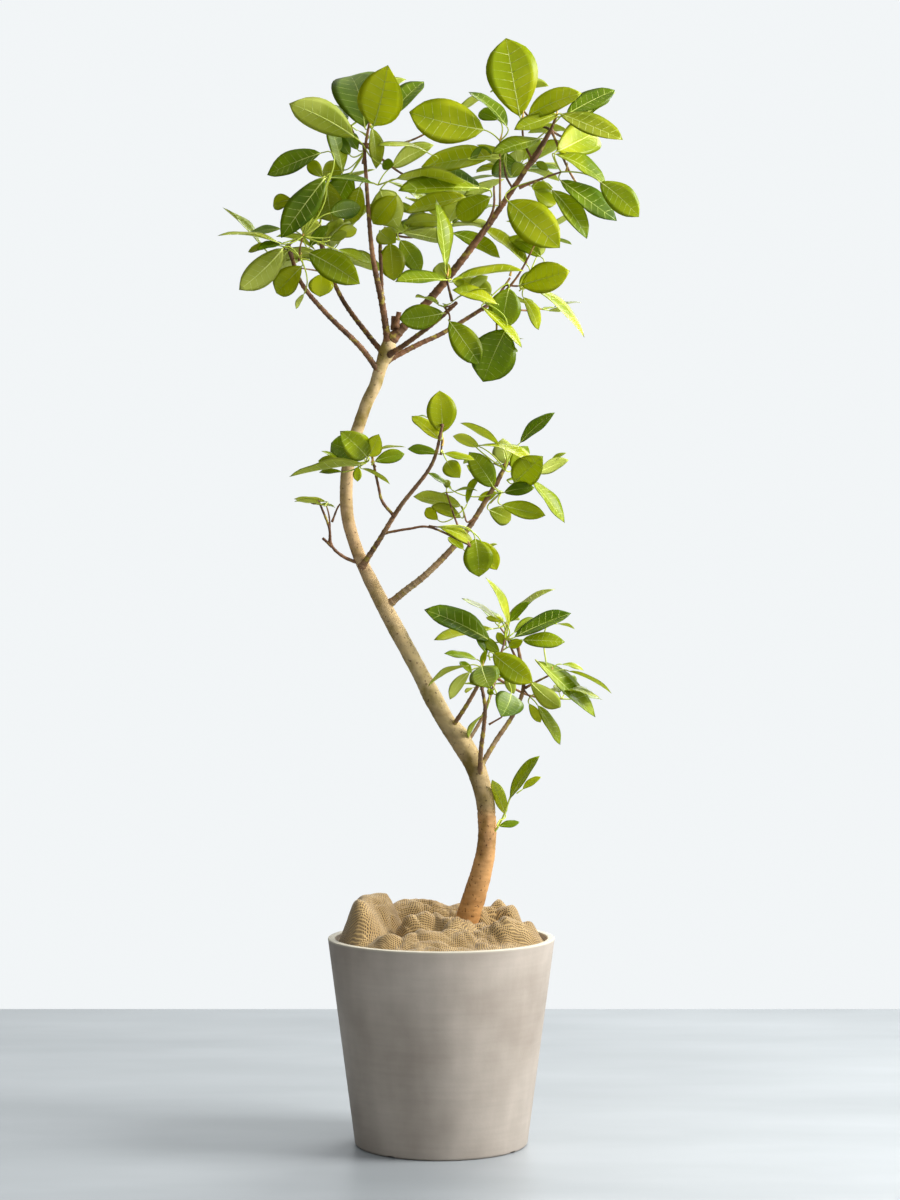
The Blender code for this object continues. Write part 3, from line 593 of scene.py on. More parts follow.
# %% Stations of the trunk
# A station of the trunk: its height, where its middle is, and its radius
Station = namedtuple("Station", "z x y r")
TRUNK = (
    Station(z=0.280, x=0.022, y=0.000, r=0.0290),
    Station(z=0.315, x=0.028, y=0.000, r=0.0215),
    Station(z=0.364, x=0.043, y=-0.003, r=0.0187),
    Station(z=0.413, x=0.058, y=-0.008, r=0.0178),
    Station(z=0.451, x=0.068, y=-0.011, r=0.0162),
    Station(z=0.490, x=0.073, y=-0.012, r=0.0147),
    Station(z=0.529, x=0.0725, y=-0.010, r=0.0147),
    Station(z=0.568, x=0.066, y=-0.005, r=0.0148),
    Station(z=0.607, x=0.0525, y=0.000, r=0.0160),
    Station(z=0.640, x=0.033, y=0.004, r=0.0168),
    Station(z=0.664, x=0.0145, y=0.006, r=0.0145),
    Station(z=0.709, x=-0.011, y=0.010, r=0.0150),
    Station(z=0.754, x=-0.035, y=0.014, r=0.0130),
    Station(z=0.799, x=-0.059, y=0.016, r=0.0130),
    Station(z=0.850, x=-0.087, y=0.018, r=0.0126),
    Station(z=0.892, x=-0.109, y=0.017, r=0.0115),
    Station(z=0.928, x=-0.1265, y=0.015, r=0.0102),
    Station(z=0.965, x=-0.1405, y=0.012, r=0.0100),
    Station(z=1.002, x=-0.150, y=0.008, r=0.0102),
    Station(z=1.039, x=-0.1525, y=0.004, r=0.0103),
    Station(z=1.075, x=-0.1505, y=0.000, r=0.0103),
    Station(z=1.112, x=-0.144, y=-0.003, r=0.0100),
    Station(z=1.149, x=-0.132, y=-0.004, r=0.0098),
    Station(z=1.186, x=-0.119, y=-0.003, r=0.0098),
    Station(z=1.213, x=-0.106, y=-0.002, r=0.0100),
    Station(z=1.240, x=-0.098, y=-0.001, r=0.0102),
    Station(z=1.267, x=-0.0875, y=0.000, r=0.0100),
    Station(z=1.290, x=-0.081, y=0.000, r=0.0080),
)
print("stations of the trunk:", len(TRUNK))

# %% [markdown]
# Trunk, boughs, stalks and buds are all tubes. A curve with a bevel would give a clean pipe. A loft
# does better: a ring of points is carried along a smooth middle line without twisting, and a rule
# of its own says how far out each point stands.

# %% Smooth lines and lofts
TRUNK_STEP = 0.0018


def smooth_line(points, step):
    """Points about a step apart along a Catmull-Rom curve through some points."""
    points = [Vector(p) for p in points]
    ends = [2 * points[0] - points[1], *points, 2 * points[-1] - points[-2]]
    length = sum((b - a).length for a, b in zip(points, points[1:]))
    count = max(3, round(length / step))
    made = []
    for k in range(count + 1):
        place = min(k / count * (len(points) - 1), len(points) - 1 - 1e-9)
        i = int(place)
        t = place - i
        a, b, c, d = ends[i:i + 4]
        made.append(0.5 * (2 * b + (c - a) * t + (2 * a - 5 * b + 4 * c - d) * t * t
                           + (3 * b - a - 3 * c + d) * t ** 3))
    return made


def ring_faces(rings, sides):
    """Quads between rings of points, and a fan at each end round one of the last two points."""
    made = []
    for i in range(rings - 1):
        for j in range(sides):
            k = (j + 1) % sides
            made.append((i * sides + j, i * sides + k, (i + 1) * sides + k, (i + 1) * sides + j))
    first = rings * sides
    last = first + 1
    for j in range(sides):
        k = (j + 1) % sides
        made.append((first, k, j))
        made.append((last, (rings - 1) * sides + j, (rings - 1) * sides + k))
    return made


def loft(line, radius_at, sides):
    """Points and faces of a tube. Its radius is worked out from the spot, the way out, how far along
    the spot is and which share of the line that is."""
    points = []
    side = None
    gone = 0.0
    for i, spot in enumerate(line):
        ahead = line[min(i + 1, len(line) - 1)] - line[max(i - 1, 0)]
        ahead.normalize()
        if side is None:
            side = ahead.orthogonal().normalized()
        side = (side - ahead * side.dot(ahead)).normalized()
        up = ahead.cross(side)
        if i:
            gone += (spot - line[i - 1]).length
        for j in range(sides):
            angle = 2 * math.pi * j / sides
            out = side * math.cos(angle) + up * math.sin(angle)
            points.append(spot + out * radius_at(spot, out, gone, i / (len(line) - 1)))
    points += [line[0], line[-1]]
    return points, ring_faces(len(line), sides)


def tapered(radii):
    """A radius for loft that goes evenly from the first to the second."""
    return lambda spot, out, gone, share: radii[0] + (radii[1] - radii[0]) * share


trunk_rows = smooth_line([(s.x, s.y, s.z, s.r) for s in TRUNK], TRUNK_STEP)
trunk_line = [row.xyz for row in trunk_rows]
trunk_radii = [row.w for row in trunk_rows]
print("points in the trunk's line:", len(trunk_line))

# %% [markdown]
# The bark is smooth with low swellings and scars, and a narrow groove runs round it where the trunk
# was grafted. A bump would leave the outline clean, so each point of the loft moves in or out by
# noise, and the relief is in the mesh. Tubes and blades are many, and as objects of their own they
# would be slow, so a small store collects them into one mesh.

# %% Trunk shape
TRUNK_SIDES = 56
# Each relief of the bark: how fine its noise is, and how far it moves the bark as a share of the radius
BROAD_SWELL = (38, 0.05)
SHORT_SWELL = (90, 0.035)
GRAIN = (240, 0.010)
SCARS = (17, 0.9)
# Only the peaks of a noise over this value become scars, and the noise is taken from another place
SCAR_START = 0.42
SCAR_SHIFT = Vector((5, 0, 0))
# The groove of the graft: its height, its slant, how wide it is and how deep as a share of the radius
GRAFT_HEIGHT = 0.530
GRAFT_SLANT = 0.004
GRAFT_WIDE = 0.0018
GRAFT_DEEP = 0.07


class MeshStore:
    """Collects points and faces of many tubes or blades into one mesh."""

    def __init__(self):
        self.points = []
        self.faces = []
        self.kinds = []
        self.tints = []

    def add(self, points, faces, kinds=None, tints=()):
        """Adds a tube or a blade, with a material number for each face and a tint for each point."""
        start = len(self.points)
        self.points.extend(points)
        self.faces.extend([tuple(start + i for i in face) for face in faces])
        self.kinds.extend(kinds or [0] * len(faces))
        self.tints.extend(tints)

    def mesh(self, name):
        """The mesh of all that was added, with the tints as an attribute where there are any."""
        made = bpy.data.meshes.new(name)
        made.from_pydata(self.points, [], self.faces)
        made.polygons.foreach_set("material_index", self.kinds)
        if self.tints:
            layer = made.attributes.new("tint", "FLOAT", "POINT")
            layer.data.foreach_set("value", self.tints)
        made.update()
        made.shade_smooth()
        return made


def trunk_radius(spot, out, gone, share):
    """The trunk's radius with its swellings, grain, scars and the line where it was grafted."""
    radius = trunk_radii[round(share * (len(trunk_radii) - 1))]
    place = spot + out * radius
    tall = Vector((place.x, place.y, place.z * 2.6))
    drawn = Vector((place.x * 0.6, place.y * 0.6, place.z * 2))
    swell = BROAD_SWELL[1] * noise.noise(place * BROAD_SWELL[0])
    swell += SHORT_SWELL[1] * noise.noise(tall * SHORT_SWELL[0])
    grain = GRAIN[1] * noise.noise(drawn * GRAIN[0])
    scar = max(0.0, noise.noise(place * SCARS[0] + SCAR_SHIFT) - SCAR_START) * SCARS[1]
    graft = -GRAFT_DEEP * math.exp(-((spot.z - GRAFT_HEIGHT + GRAFT_SLANT * out.x) / GRAFT_WIDE) ** 2)
    return radius * (1 + swell + grain + scar + graft)


trunk_store = MeshStore()
trunk_store.add(*loft(trunk_line, trunk_radius, TRUNK_SIDES))
print("trunk faces:", len(trunk_store.faces))

# %% [markdown]
# The bark is orange-tan at the foot of the trunk and olive beige higher up, with green films of
# algae, faint rings and small dark pores. Painting it by hand would take an image. Here a ramp over
# the height gives the main tones, and three noises of different size shade it.

# %% Trunk finish
BARK_LOW = 0.30
BARK_HIGH = 1.30
BARK_TONES = ((0.0, (0.56, 0.280, 0.080)), (0.222, (0.60, 0.330, 0.130)), (0.242, (0.400, 0.280, 0.125)),
              (0.45, (0.520, 0.400, 0.190)), (0.66, (0.560, 0.370, 0.180)), (1.0, (0.680, 0.520, 0.290)))
ALGAE_TONES = ((0.48, (1.0, 1.0, 1.0)), (0.64, (0.46, 0.44, 0.16)))
RING_TONES = ((0.30, (0.74, 0.68, 0.58)), (0.48, (1.0, 1.0, 1.0)), (0.72, (1.12, 1.10, 1.04)))
PORE_TONES = ((0.28, (0.30, 0.24, 0.18)), (0.37, (1.0, 1.0, 1.0)))

bark, bark_tree, bark_shader = new_material("pale_bark", 0.72)
bark_tone = ramp_node(bark_tree, height_share(bark_tree, BARK_LOW, BARK_HIGH), BARK_TONES)
algae = clouds(bark_tree, 26.0, 5.0, ALGAE_TONES, (1.0, 1.0, 0.8))
faint_rings = clouds(bark_tree, 34.0, 5.0, RING_TONES, (0.7, 0.7, 2.2))
pores = clouds(bark_tree, 210.0, 2.0, PORE_TONES)
feed(bark_tree, shaded(bark_tree, bark_tone, algae, faint_rings, pores), bark_shader.inputs["Base Color"])
bump_node(bark_tree, bark_shader, noise_node(bark_tree, 320.0, 5.0, (1.0, 1.0, 2.0)), 0.35, 0.0008)
trunk = add_piece("trunk_bark", trunk_store.mesh("trunk_bark"), [bark])
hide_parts("trunk")
print("nodes in the bark:", len(bark_tree.nodes))

# %% [markdown]
# Boughs grow out of the trunk and end in the tufts of leaves. Straight cones would lose the way they
# wander, so each follows a smooth line through a few places: where it is seen from the front, and a
# depth that was judged. The solids of the boughs follow the same lines.

# %% Lines of the boughs
# A limb: its middle line as (x, z, y) seen from the front, its radius at both ends, and the mass of
# leaves that it ends in
Limb = namedtuple("Limb", "name path radii into")
LIMBS = (
    Limb("bough_right",
         ((-0.081, 1.287, 0.0), (-0.012, 1.359, -0.01), (0.062, 1.453, -0.03), (0.115, 1.529, -0.04),
          (0.176, 1.623, -0.05)),
         (0.0072, 0.0033), "crown_top_right"),
    Limb("bough_centre",
         ((-0.0845, 1.280, -0.002), (-0.095, 1.346, -0.01), (-0.106, 1.399, -0.02),
          (-0.114, 1.458, -0.03), (-0.124, 1.600, -0.03)),
         (0.0058, 0.0027), "crown_top_left"),
    Limb("bough_centre_back",
         ((-0.095, 1.352, -0.010), (-0.096, 1.386, 0.03), (-0.098, 1.460, 0.085)),
         (0.0036, 0.0022), "crown_centre_left"),
    Limb("bough_left",
         ((-0.097, 1.232, -0.004), (-0.131, 1.277, -0.012), (-0.185, 1.330, -0.03),
          (-0.226, 1.381, -0.05), (-0.245, 1.440, -0.06)),
         (0.0047, 0.0030), "crown_left"),
    Limb("bough_left_back",
         ((-0.090, 1.262, 0.006), (-0.118, 1.296, 0.02), (-0.158, 1.351, 0.06), (-0.185, 1.412, 0.09),
          (-0.198, 1.462, 0.11)),
         (0.0047, 0.0026), "crown_left_back"),
    Limb("bough_low_front",
         ((-0.086, 1.262, -0.006), (-0.056, 1.281, -0.025), (-0.008, 1.317, -0.07),
          (0.024, 1.346, -0.12)),
         (0.0045, 0.0030), "crown_low_front"),
    Limb("bough_low_right",
         ((-0.090, 1.252, 0.004), (-0.036, 1.280, 0.018), (0.008, 1.301, 0.03),
          (0.090, 1.352, 0.05)),
         (0.0046, 0.0030), "crown_low_right"),
    Limb("bough_middle",
         ((-0.128, 0.922, 0.010), (-0.100, 0.965, -0.015), (-0.065, 1.021, -0.04),
          (-0.016, 1.086, -0.07), (0.002, 1.150, -0.08)),
         (0.0048, 0.0022), "middle_top"),
    Limb("bough_middle_front",
         ((-0.074, 1.003, -0.033), (-0.094, 1.027, -0.04), (-0.101, 1.053, -0.05),
          (-0.112, 1.105, -0.068)),
         (0.0027, 0.0018), "middle_left"),
    Limb("twig_middle",
         ((-0.092, 0.977, -0.020), (-0.052, 0.984, -0.03), (-0.016, 0.986, -0.035),
          (0.045, 0.958, -0.035)),
         (0.0022, 0.0016), "middle_low"),
    Limb("bough_middle_right",
         ((-0.092, 0.856, 0.018), (-0.061, 0.882, 0.016), (-0.020, 0.915, 0.020),
          (0.033, 0.971, 0.04), (0.073, 1.032, 0.05), (0.106, 1.090, 0.05)),
         (0.0062, 0.0034), "middle_right"),
    Limb("twig_middle_left",
         ((-0.126, 0.927, 0.014), (-0.156, 0.939, 0.008), (-0.176, 0.958, 0.0),
          (-0.180, 0.987, -0.005), (-0.196, 1.028, -0.010)),
         (0.0030, 0.0017), "middle_left_low"),
    Limb("bough_low_left",
         ((0.013, 0.660, 0.002), (0.041, 0.702, -0.02), (0.066, 0.746, -0.035)),
         (0.0039, 0.0028), "low_left"),
    Limb("bough_low_middle",
         ((0.062, 0.580, -0.006), (0.0635, 0.628, -0.035), (0.068, 0.665, -0.055),
          (0.070, 0.700, -0.065), (0.062, 0.745, -0.070)),
         (0.0041, 0.0025), "low_left"),
    Limb("bough_low_side",
         ((0.058, 0.594, 0.002), (0.086, 0.642, 0.012), (0.1165, 0.689, 0.03), (0.132, 0.735, 0.04),
          (0.122, 0.800, 0.03)),
         (0.0043, 0.0026), "low_top"),
    Limb("bough_low_back",
         ((0.036, 0.632, 0.012), (0.066, 0.683, 0.045), (0.088, 0.745, 0.09)),
         (0.0031, 0.0022), "low_back"),
    Limb("sprout_stem",
         ((0.073, 0.490, -0.014), (0.088, 0.502, -0.020), (0.101, 0.527, -0.025),
          (0.111, 0.556, -0.030)),
         (0.0019, 0.0013), "sprout"),
)
SPROUT_STEM = LIMBS[-1]
WOODY_LIMBS = LIMBS[:-1]
print("limbs:", len(LIMBS))

# %% [markdown]
# Thin twigs reach from the boughs to the leaves that show. They could end where the boughs end, but
# then the tufts would float. These have no solids of their own, because each mass of leaves stands
# for them too, so their lines are read in the picture.

# %% Lines of the twigs
# A twig: its line as (px, py, depth) and its radius at both ends
Twig = namedtuple("Twig", "line radii")
TWIGS = (
    Twig(((292.3, 259.5, -0.060), (288.4, 246, -0.065), (303, 236, -0.07)), (0.0026, 0.0016)),
    Twig(((299, 261, -0.062), (300, 248, -0.07), (303, 236, -0.075)), (0.0018, 0.0012)),
    Twig(((331, 275, 0.09), (318, 271, 0.04), (300, 268, -0.02)), (0.0016, 0.0011)),
    Twig(((326, 262, 0.10), (321, 243, 0.11), (319, 230, 0.11)), (0.0024, 0.0016)),
    Twig(((363.6, 164, -0.03), (366, 142, -0.03), (369.6, 122, -0.03)), (0.0028, 0.0018)),
    Twig(((382, 285, 0.07), (379.7, 245, 0.10), (385, 227, 0.11)), (0.0026, 0.0016)),
    Twig(((480, 236, -0.035), (493, 210, -0.05), (494, 186, -0.06)), (0.0024, 0.0015)),
    Twig(((519, 188, -0.05), (541, 179, -0.05), (561, 172, -0.05)), (0.0024, 0.0015)),
    Twig(((513, 189, -0.045), (506, 176, -0.02), (504, 160, 0.0)), (0.0020, 0.0013)),
    Twig(((533, 161, -0.05), (542.6, 146, -0.05), (551, 129.5, -0.05), (556, 117, -0.05)),
         (0.0034, 0.0020)),
    Twig(((533, 161, -0.05), (524, 142, -0.04), (522, 120, -0.03)), (0.0022, 0.0014)),
    Twig(((500, 206, -0.045), (500, 158, -0.05), (500, 141, -0.05)), (0.0019, 0.0013)),
    Twig(((452, 301, -0.12), (448, 285, -0.13), (447, 278, -0.13)), (0.0022, 0.0014)),
    Twig(((444, 306, -0.11), (449, 314, -0.12), (450, 320, -0.13)), (0.0018, 0.0013)),
    Twig(((482, 310, 0.03), (496, 298, 0.04), (510, 278, 0.05)), (0.0026, 0.0017)),
    Twig(((505, 285, 0.045), (518, 286, 0.04), (527, 283, 0.03)), (0.0018, 0.0012)),
    Twig(((332, 546.5, 0.0), (322.5, 538, -0.002)), (0.0026, 0.0020)),
    Twig(((329, 543, 0.0), (330, 530, 0.0), (329, 515.5, 0.0), (326, 504, 0.0)), (0.0016, 0.0011)),
    Twig(((332, 522, 0.0), (337, 509, 0.005), (340, 504, 0.01)), (0.0017, 0.0012)),
    Twig(((375, 467, -0.07), (371.8, 462, -0.075)), (0.0022, 0.0014)),
    Twig(((441, 455, -0.08), (442, 440, -0.08)), (0.0018, 0.0013)),
    Twig(((429, 526, -0.035), (438, 527, -0.04)), (0.0016, 0.0011)),
    Twig(((496, 486, 0.05), (503, 472, 0.05), (507, 462, 0.05)), (0.0028, 0.0016)),
    Twig(((474, 518.5, 0.04), (467, 522, 0.035), (464, 513, 0.03), (461, 506, 0.025)), (0.0016, 0.0011)),
    Twig(((490, 503, 0.05), (502, 492, 0.045)), (0.0016, 0.0011)),
    Twig(((479.5, 686, -0.035), (482, 676, -0.04)), (0.0022, 0.0014)),
    Twig(((489, 724.5, -0.04), (502, 717, -0.045)), (0.0016, 0.0012)),
    Twig(((481, 690, -0.068), (497, 664, -0.06), (505, 640, -0.04)), (0.0022, 0.0015)),
    Twig(((525, 688, 0.035), (538, 681, 0.04), (552, 674, 0.045)), (0.0022, 0.0014)),
    Twig(((522, 667, 0.035), (514, 654, 0.025), (506, 635, 0.01)), (0.0025, 0.0016)),
    Twig(((524, 690, 0.038), (530, 697, 0.03)), (0.0015, 0.0011)),
    Twig(((393.5, 330, 0.0), (393.5, 316, -0.004)), (0.0042, 0.0036)),
    Twig(((396, 328, -0.008), (399, 312, -0.012)), (0.0046, 0.0040)),
)
print("twigs that show:", len(TWIGS))

# %% [markdown]
# A fig's bough flares where it leaves its host, tapers, and keeps a raised ring wherever a leaf has
# dropped. The rings could be separate hoops, but they would sit on the bark like wire. Here the
# radius swells in even steps along the limb, and noise keeps the steps from being too regular.
# Each point also keeps how pale its bark is, because old limbs are paler at the foot.

# %% Boughs and twigs
# The rings of leaf scars: how far apart they are and how much of a step is uneven, then how wide each
# is as a share of a step and how high as a share of the radius
RING_STEP = 0.0115
RING_UNEVEN = 0.35
RING_WIDE = 0.10
RING_RISE = 0.17
# The roughness of young bark, as a share of the radius
ROUGH = 0.06
# How far the flare of a limb's foot reaches, in radii
FLARE_REACH = 2.2
# How much of its paleness a limb loses on the way to its end
PALE_LOSS = 0.6
# Limbs thicker than this get finer steps along their line
THICK_LIMB = 0.003
THICK_STEP = 0.0018
THIN_STEP = 0.0026
LIMB_SIDES = 18
LIMB_FLARE = 0.45
TWIG_SIDES = 10
TWIG_FLARE = 0.2
# How pale the bark is at the foot of a limb, from 0 for dark to 1 for pale
PALE_LIMBS = {"bough_middle_right": 0.75, "bough_low_side": 0.70, "bough_low_left": 0.55,
              "bough_low_middle": 0.30, "bough_middle": 0.40, "bough_low_back": 0.65}
LIMB_PALE = 0.12
TWIG_PALE = 0.10
bough_store = MeshStore()


def limb_radius(radii, salt, flare):
    """A radius for loft that tapers, flares at the foot and carries the rings of leaf scars."""
    plain = tapered(radii)

    def at(spot, out, gone, share):
        radius = plain(spot, out, gone, share)
        phase = (gone / RING_STEP + RING_UNEVEN * noise.noise(spot * 30 + salt)) % 1.0
        ring = RING_RISE * math.exp(-((phase - 0.5) / RING_WIDE) ** 2)
        rough = ROUGH * noise.noise((spot + out * radius) * 160 + salt)
        return radius * (1 + ring + rough + flare * math.exp(-(gone / (FLARE_REACH * radii[0])) ** 2))
    return at


def add_limb(line, radii, pale, salt, flare, sides):
    """Adds a limb or a twig, which gets darker from its foot to its end."""
    step = THICK_STEP if radii[0] > THICK_LIMB else THIN_STEP
    points, faces = loft(smooth_line(line, step), limb_radius(radii, salt, flare), sides)
    rings = (len(points) - 2) // sides
    tints = []
    for i in range(rings):
        tints += [pale * (1 - PALE_LOSS * i / rings)] * sides
    bough_store.add(points, faces, tints=tints + [pale, pale * (1 - PALE_LOSS)])


def add_twig(line, radii, salt):
    """Adds a thin dark twig."""
    add_limb(line, radii, TWIG_PALE, salt, TWIG_FLARE, TWIG_SIDES)


for n, limb in enumerate(WOODY_LIMBS):
    line = [from_front(*point) for point in limb.path]
    pale = PALE_LIMBS.get(limb.name, LIMB_PALE)
    add_limb(line, limb.radii, pale, Vector((n * 3.1, 0, 0)), LIMB_FLARE, LIMB_SIDES)
for n, twig in enumerate(TWIGS):
    add_twig([from_picture(*point) for point in twig.line], twig.radii, Vector((0, n * 2.3, 0)))
print("faces in boughs and twigs that show:", len(bough_store.faces))

# %% [markdown]
# Young bark is reddish brown, the older limbs are tan, and specks of yellow lichen sit on both. Two
# materials would meet in a hard line. One material mixes both barks by the tint that each point
# carries, and lays the lichen over them by noise.

# %% Finish of the boughs
YOUNG_TONES = ((0.34, (0.070, 0.024, 0.010)), (0.54, (0.185, 0.070, 0.026)), (0.70, (0.400, 0.190, 0.085)))
OLD_TONES = ((0.32, (0.260, 0.150, 0.060)), (0.70, (0.520, 0.400, 0.210)))
LICHEN_SHARE = ((0.58, (0.0, 0.0, 0.0)), (0.68, (1.0, 1.0, 1.0)))
LICHEN_TONE = (0.400, 0.300, 0.040)

young_bark, young_tree, young_shader = new_material("young_bark", 0.66)
bark_age = add_node(young_tree, "Attribute", {}, attribute_name="tint").outputs["Fac"]
limb_colour = mix_node(young_tree, bark_age, clouds(young_tree, 48.0, 5.0, YOUNG_TONES),
                       clouds(young_tree, 40.0, 5.0, OLD_TONES))
lichen = clouds(young_tree, 70.0, 3.0, LICHEN_SHARE)
feed(young_tree, mix_node(young_tree, lichen, limb_colour, LICHEN_TONE), young_shader.inputs["Base Color"])
bump_node(young_tree, young_shader, noise_node(young_tree, 380.0, 4.0), 0.4, 0.0006)
print("nodes in the young bark:", len(young_tree.nodes))

# %% [markdown]
# A leaf is a thin blade: an oval outline with a short point, folded a little along its midrib, bowed
# along its length and wavy at the margin. A flat card with a picture of a leaf would show no fold
# and no thickness from the side. Each leaf is a small grid with two faces instead, which meet at
# the margin, and a seeded draw gives it a fold, a bow and a wave of its own.

# %% Leaf blade
BLADE_STEPS = 12
BLADE_SIDES = 6
BLADE_HALF_THICK = 0.00022
# Between which values each leaf's own habits are drawn
FOLD_RANGE = (0.10, 0.34)
BOW_RANGE = (0.02, 0.09)
SWAY_RANGE = (-0.035, 0.035)
WAVE_RANGE = (0.01, 0.035)
PHASE_RANGE = (0, 6.28)
FULLNESS_RANGE = (0.96, 1.18)
# Where along its length a leaf starts to draw in to its point, over how much of it, and how far
POINT_START = 0.86
POINT_LONG = 0.14
POINT_DRAW = 0.35
# Below one this keeps a leaf broad over more of its length
BELLY_POWER = 0.66
# How steeply the two halves rise from the midrib, and how the wave of the margin runs
FOLD_POWER = 1.3
WAVE_TURNS = 9
WAVE_SHIFT = 1.5
WAVE_GAIN = 3


class Blade:
    """One leaf's own surface, from its base to its tip, with a width and an upper side."""

    def __init__(self, base, tip, width, up, rng):
        self.base = Vector(base)
        self.along = Vector(tip) - self.base
        self.length = self.along.length
        self.along.normalize()
        self.up = (up - self.along * up.dot(self.along)).normalized()
        self.across = self.along.cross(self.up)
        self.half = width / 2
        self.fold = rng.uniform(*FOLD_RANGE)
        self.bow = rng.uniform(*BOW_RANGE)
        self.sway = rng.uniform(*SWAY_RANGE)
        self.wave = rng.uniform(*WAVE_RANGE)
        self.phase = rng.uniform(*PHASE_RANGE)
        self.fullness = rng.uniform(*FULLNESS_RANGE)

    def outline(self, u):
        """Half the width at a share u of the length."""
        if not 0 < u < 1:
            return 0.0
        belly = math.sin(math.pi * u ** self.fullness) ** BELLY_POWER
        point = 1.0 - POINT_DRAW * max(0.0, (u - POINT_START) / POINT_LONG)
        return self.half * belly * point

    def at(self, u, v, lift=0.0):
        """The place at a share u of the length and v of the half width, lifted off the surface."""
        width = self.outline(u)
        flutter = math.sin(WAVE_TURNS * u + self.phase + (WAVE_SHIFT if v > 0 else 0))
        rise = self.fold * abs(v) ** FOLD_POWER * width
        rise += self.bow * self.length * 4 * u * (1 - u)
        rise += self.wave * self.length * flutter * v * v * u * (1 - u) * WAVE_GAIN
        side = v * width + self.sway * self.length * 4 * u * (1 - u)
        return self.base + self.along * (u * self.length) + self.across * side + self.up * (rise + lift)


def add_blade(blade, store):
    """Adds the two faces of a blade, which meet at its margin."""
    points, faces, kinds = [], [], []
    columns = BLADE_SIDES + 1
    for layer in (1, -1):
        for i in range(BLADE_STEPS + 1):
            u = i / BLADE_STEPS
            for j in range(columns):
                v = -1 + 2 * j / BLADE_SIDES
                lift = layer * BLADE_HALF_THICK * (1 - v * v) * (4 * u * (1 - u)) ** 0.5
                points.append(blade.at(u, v, lift))
    size = (BLADE_STEPS + 1) * columns
    for i in range(BLADE_STEPS):
        for j in range(BLADE_SIDES):
            a = i * columns + j
            b = a + columns
            for three in ((a, a + 1, b + 1), (a, b + 1, b)):
                faces.append(three[::-1])
                faces.append(tuple(size + corner for corner in three))
                kinds += [0, 1]
    store.add(points, faces, kinds)


print("triangles in a blade:", 4 * BLADE_STEPS * BLADE_SIDES)

# %% [markdown]
# The midrib and seven pairs of side veins stand up from the blade in a paler green. A bump could
# draw them, but it fades at a low angle, where the real ribs catch the light. So each vein is a slim
# rib of its own that follows the blade's surface, and a short curved stalk joins the blade to its
# shoot.

# %% Veins and stalks
VEIN_PAIRS = 7
# Leaves shorter than this get thinner veins
FULL_LENGTH = 0.11
RIB_FLATNESS = 0.7
MIDRIB_STEPS = 10
MIDRIB_END = 0.97
MIDRIB_FOOT = 0.00165
MIDRIB_LOSS = 0.00130
# Where the side veins leave the midrib, as shares of the length, and how far they reach to the margin
VEIN_FIRST = 0.09
VEIN_SPAN = 0.80
VEIN_END = 0.88
# How far a side vein leans towards the tip, less as it curves and less on the pairs near the tip
VEIN_LEAN = 0.14
VEIN_CURVE = 0.25
VEIN_LEAN_LOSS = 0.3
VEIN_LIMIT = 0.985
VEIN_RADII = (0.00066, 0.00060, 0.00050, 0.00036, 0.00012)
STALK_RADIUS = 0.0011
# How thick a stalk starts and how much it loses to its end, both as shares of that
STALK_START = 1.15
STALK_LOSS = 0.25
# Where a stalk bends, as a share of its length before the blade
STALK_KNEE = 0.45
STALK_STEPS = 8
STALK_SIDES = 6
SHORTEST_STALK = 0.002
stalk_store = MeshStore()


def add_rib(spots, radii, perp, up, store):
    """A slim four-sided rib along some spots, pointed at both ends."""
    points = []
    for spot, radius in zip(spots, radii):
        aside = perp * radius
        over = up * radius * RIB_FLATNESS
        points += [spot + aside, spot + over, spot - aside, spot - over]
    points += [spots[0], spots[-1]]
    store.add(points, ring_faces(len(spots), 4))


def add_veins(blade, store):
    """Adds the midrib and the side veins of a blade."""
    size = min(1.0, blade.length / FULL_LENGTH)
    shares = [MIDRIB_END * k / MIDRIB_STEPS for k in range(MIDRIB_STEPS + 1)]
    radii = [size * (MIDRIB_FOOT - MIDRIB_LOSS * u) for u in shares]
    add_rib([blade.at(u, 0) for u in shares], radii, blade.across, blade.up, store)
    radii = [size * radius for radius in VEIN_RADII]
    for pair in range(VEIN_PAIRS):
        start = VEIN_FIRST + VEIN_SPAN * pair / VEIN_PAIRS
        for sign in (1, -1):
            spots = []
            for k in range(len(radii)):
                v = VEIN_END * k / (len(radii) - 1)
                u = start + VEIN_LEAN * (v - VEIN_CURVE * v * v) * (1 - VEIN_LEAN_LOSS * start)
                spots.append(blade.at(min(u, VEIN_LIMIT), sign * v))
            add_rib(spots, radii, blade.along, blade.up, store)


def stalk_radius(spot, out, gone, share):
    """A radius for loft that is a little thicker at the shoot."""
    return STALK_RADIUS * (STALK_START - STALK_LOSS * share)


def add_stalk(start, blade):
    """Adds a leaf stalk that leaves its shoot and runs into the midrib."""
    away = (blade.base - start).length
    if away < SHORTEST_STALK:
        return
    knee = blade.base - blade.along * away * STALK_KNEE
    spots = []
    for k in range(STALK_STEPS + 1):
        t = k / STALK_STEPS
        spots.append(start * (1 - t) ** 2 + knee * 2 * t * (1 - t) + blade.base * t * t)
    stalk_store.add(*loft(spots, stalk_radius, STALK_SIDES))


print("veins in a leaf:", 1 + 2 * VEIN_PAIRS)
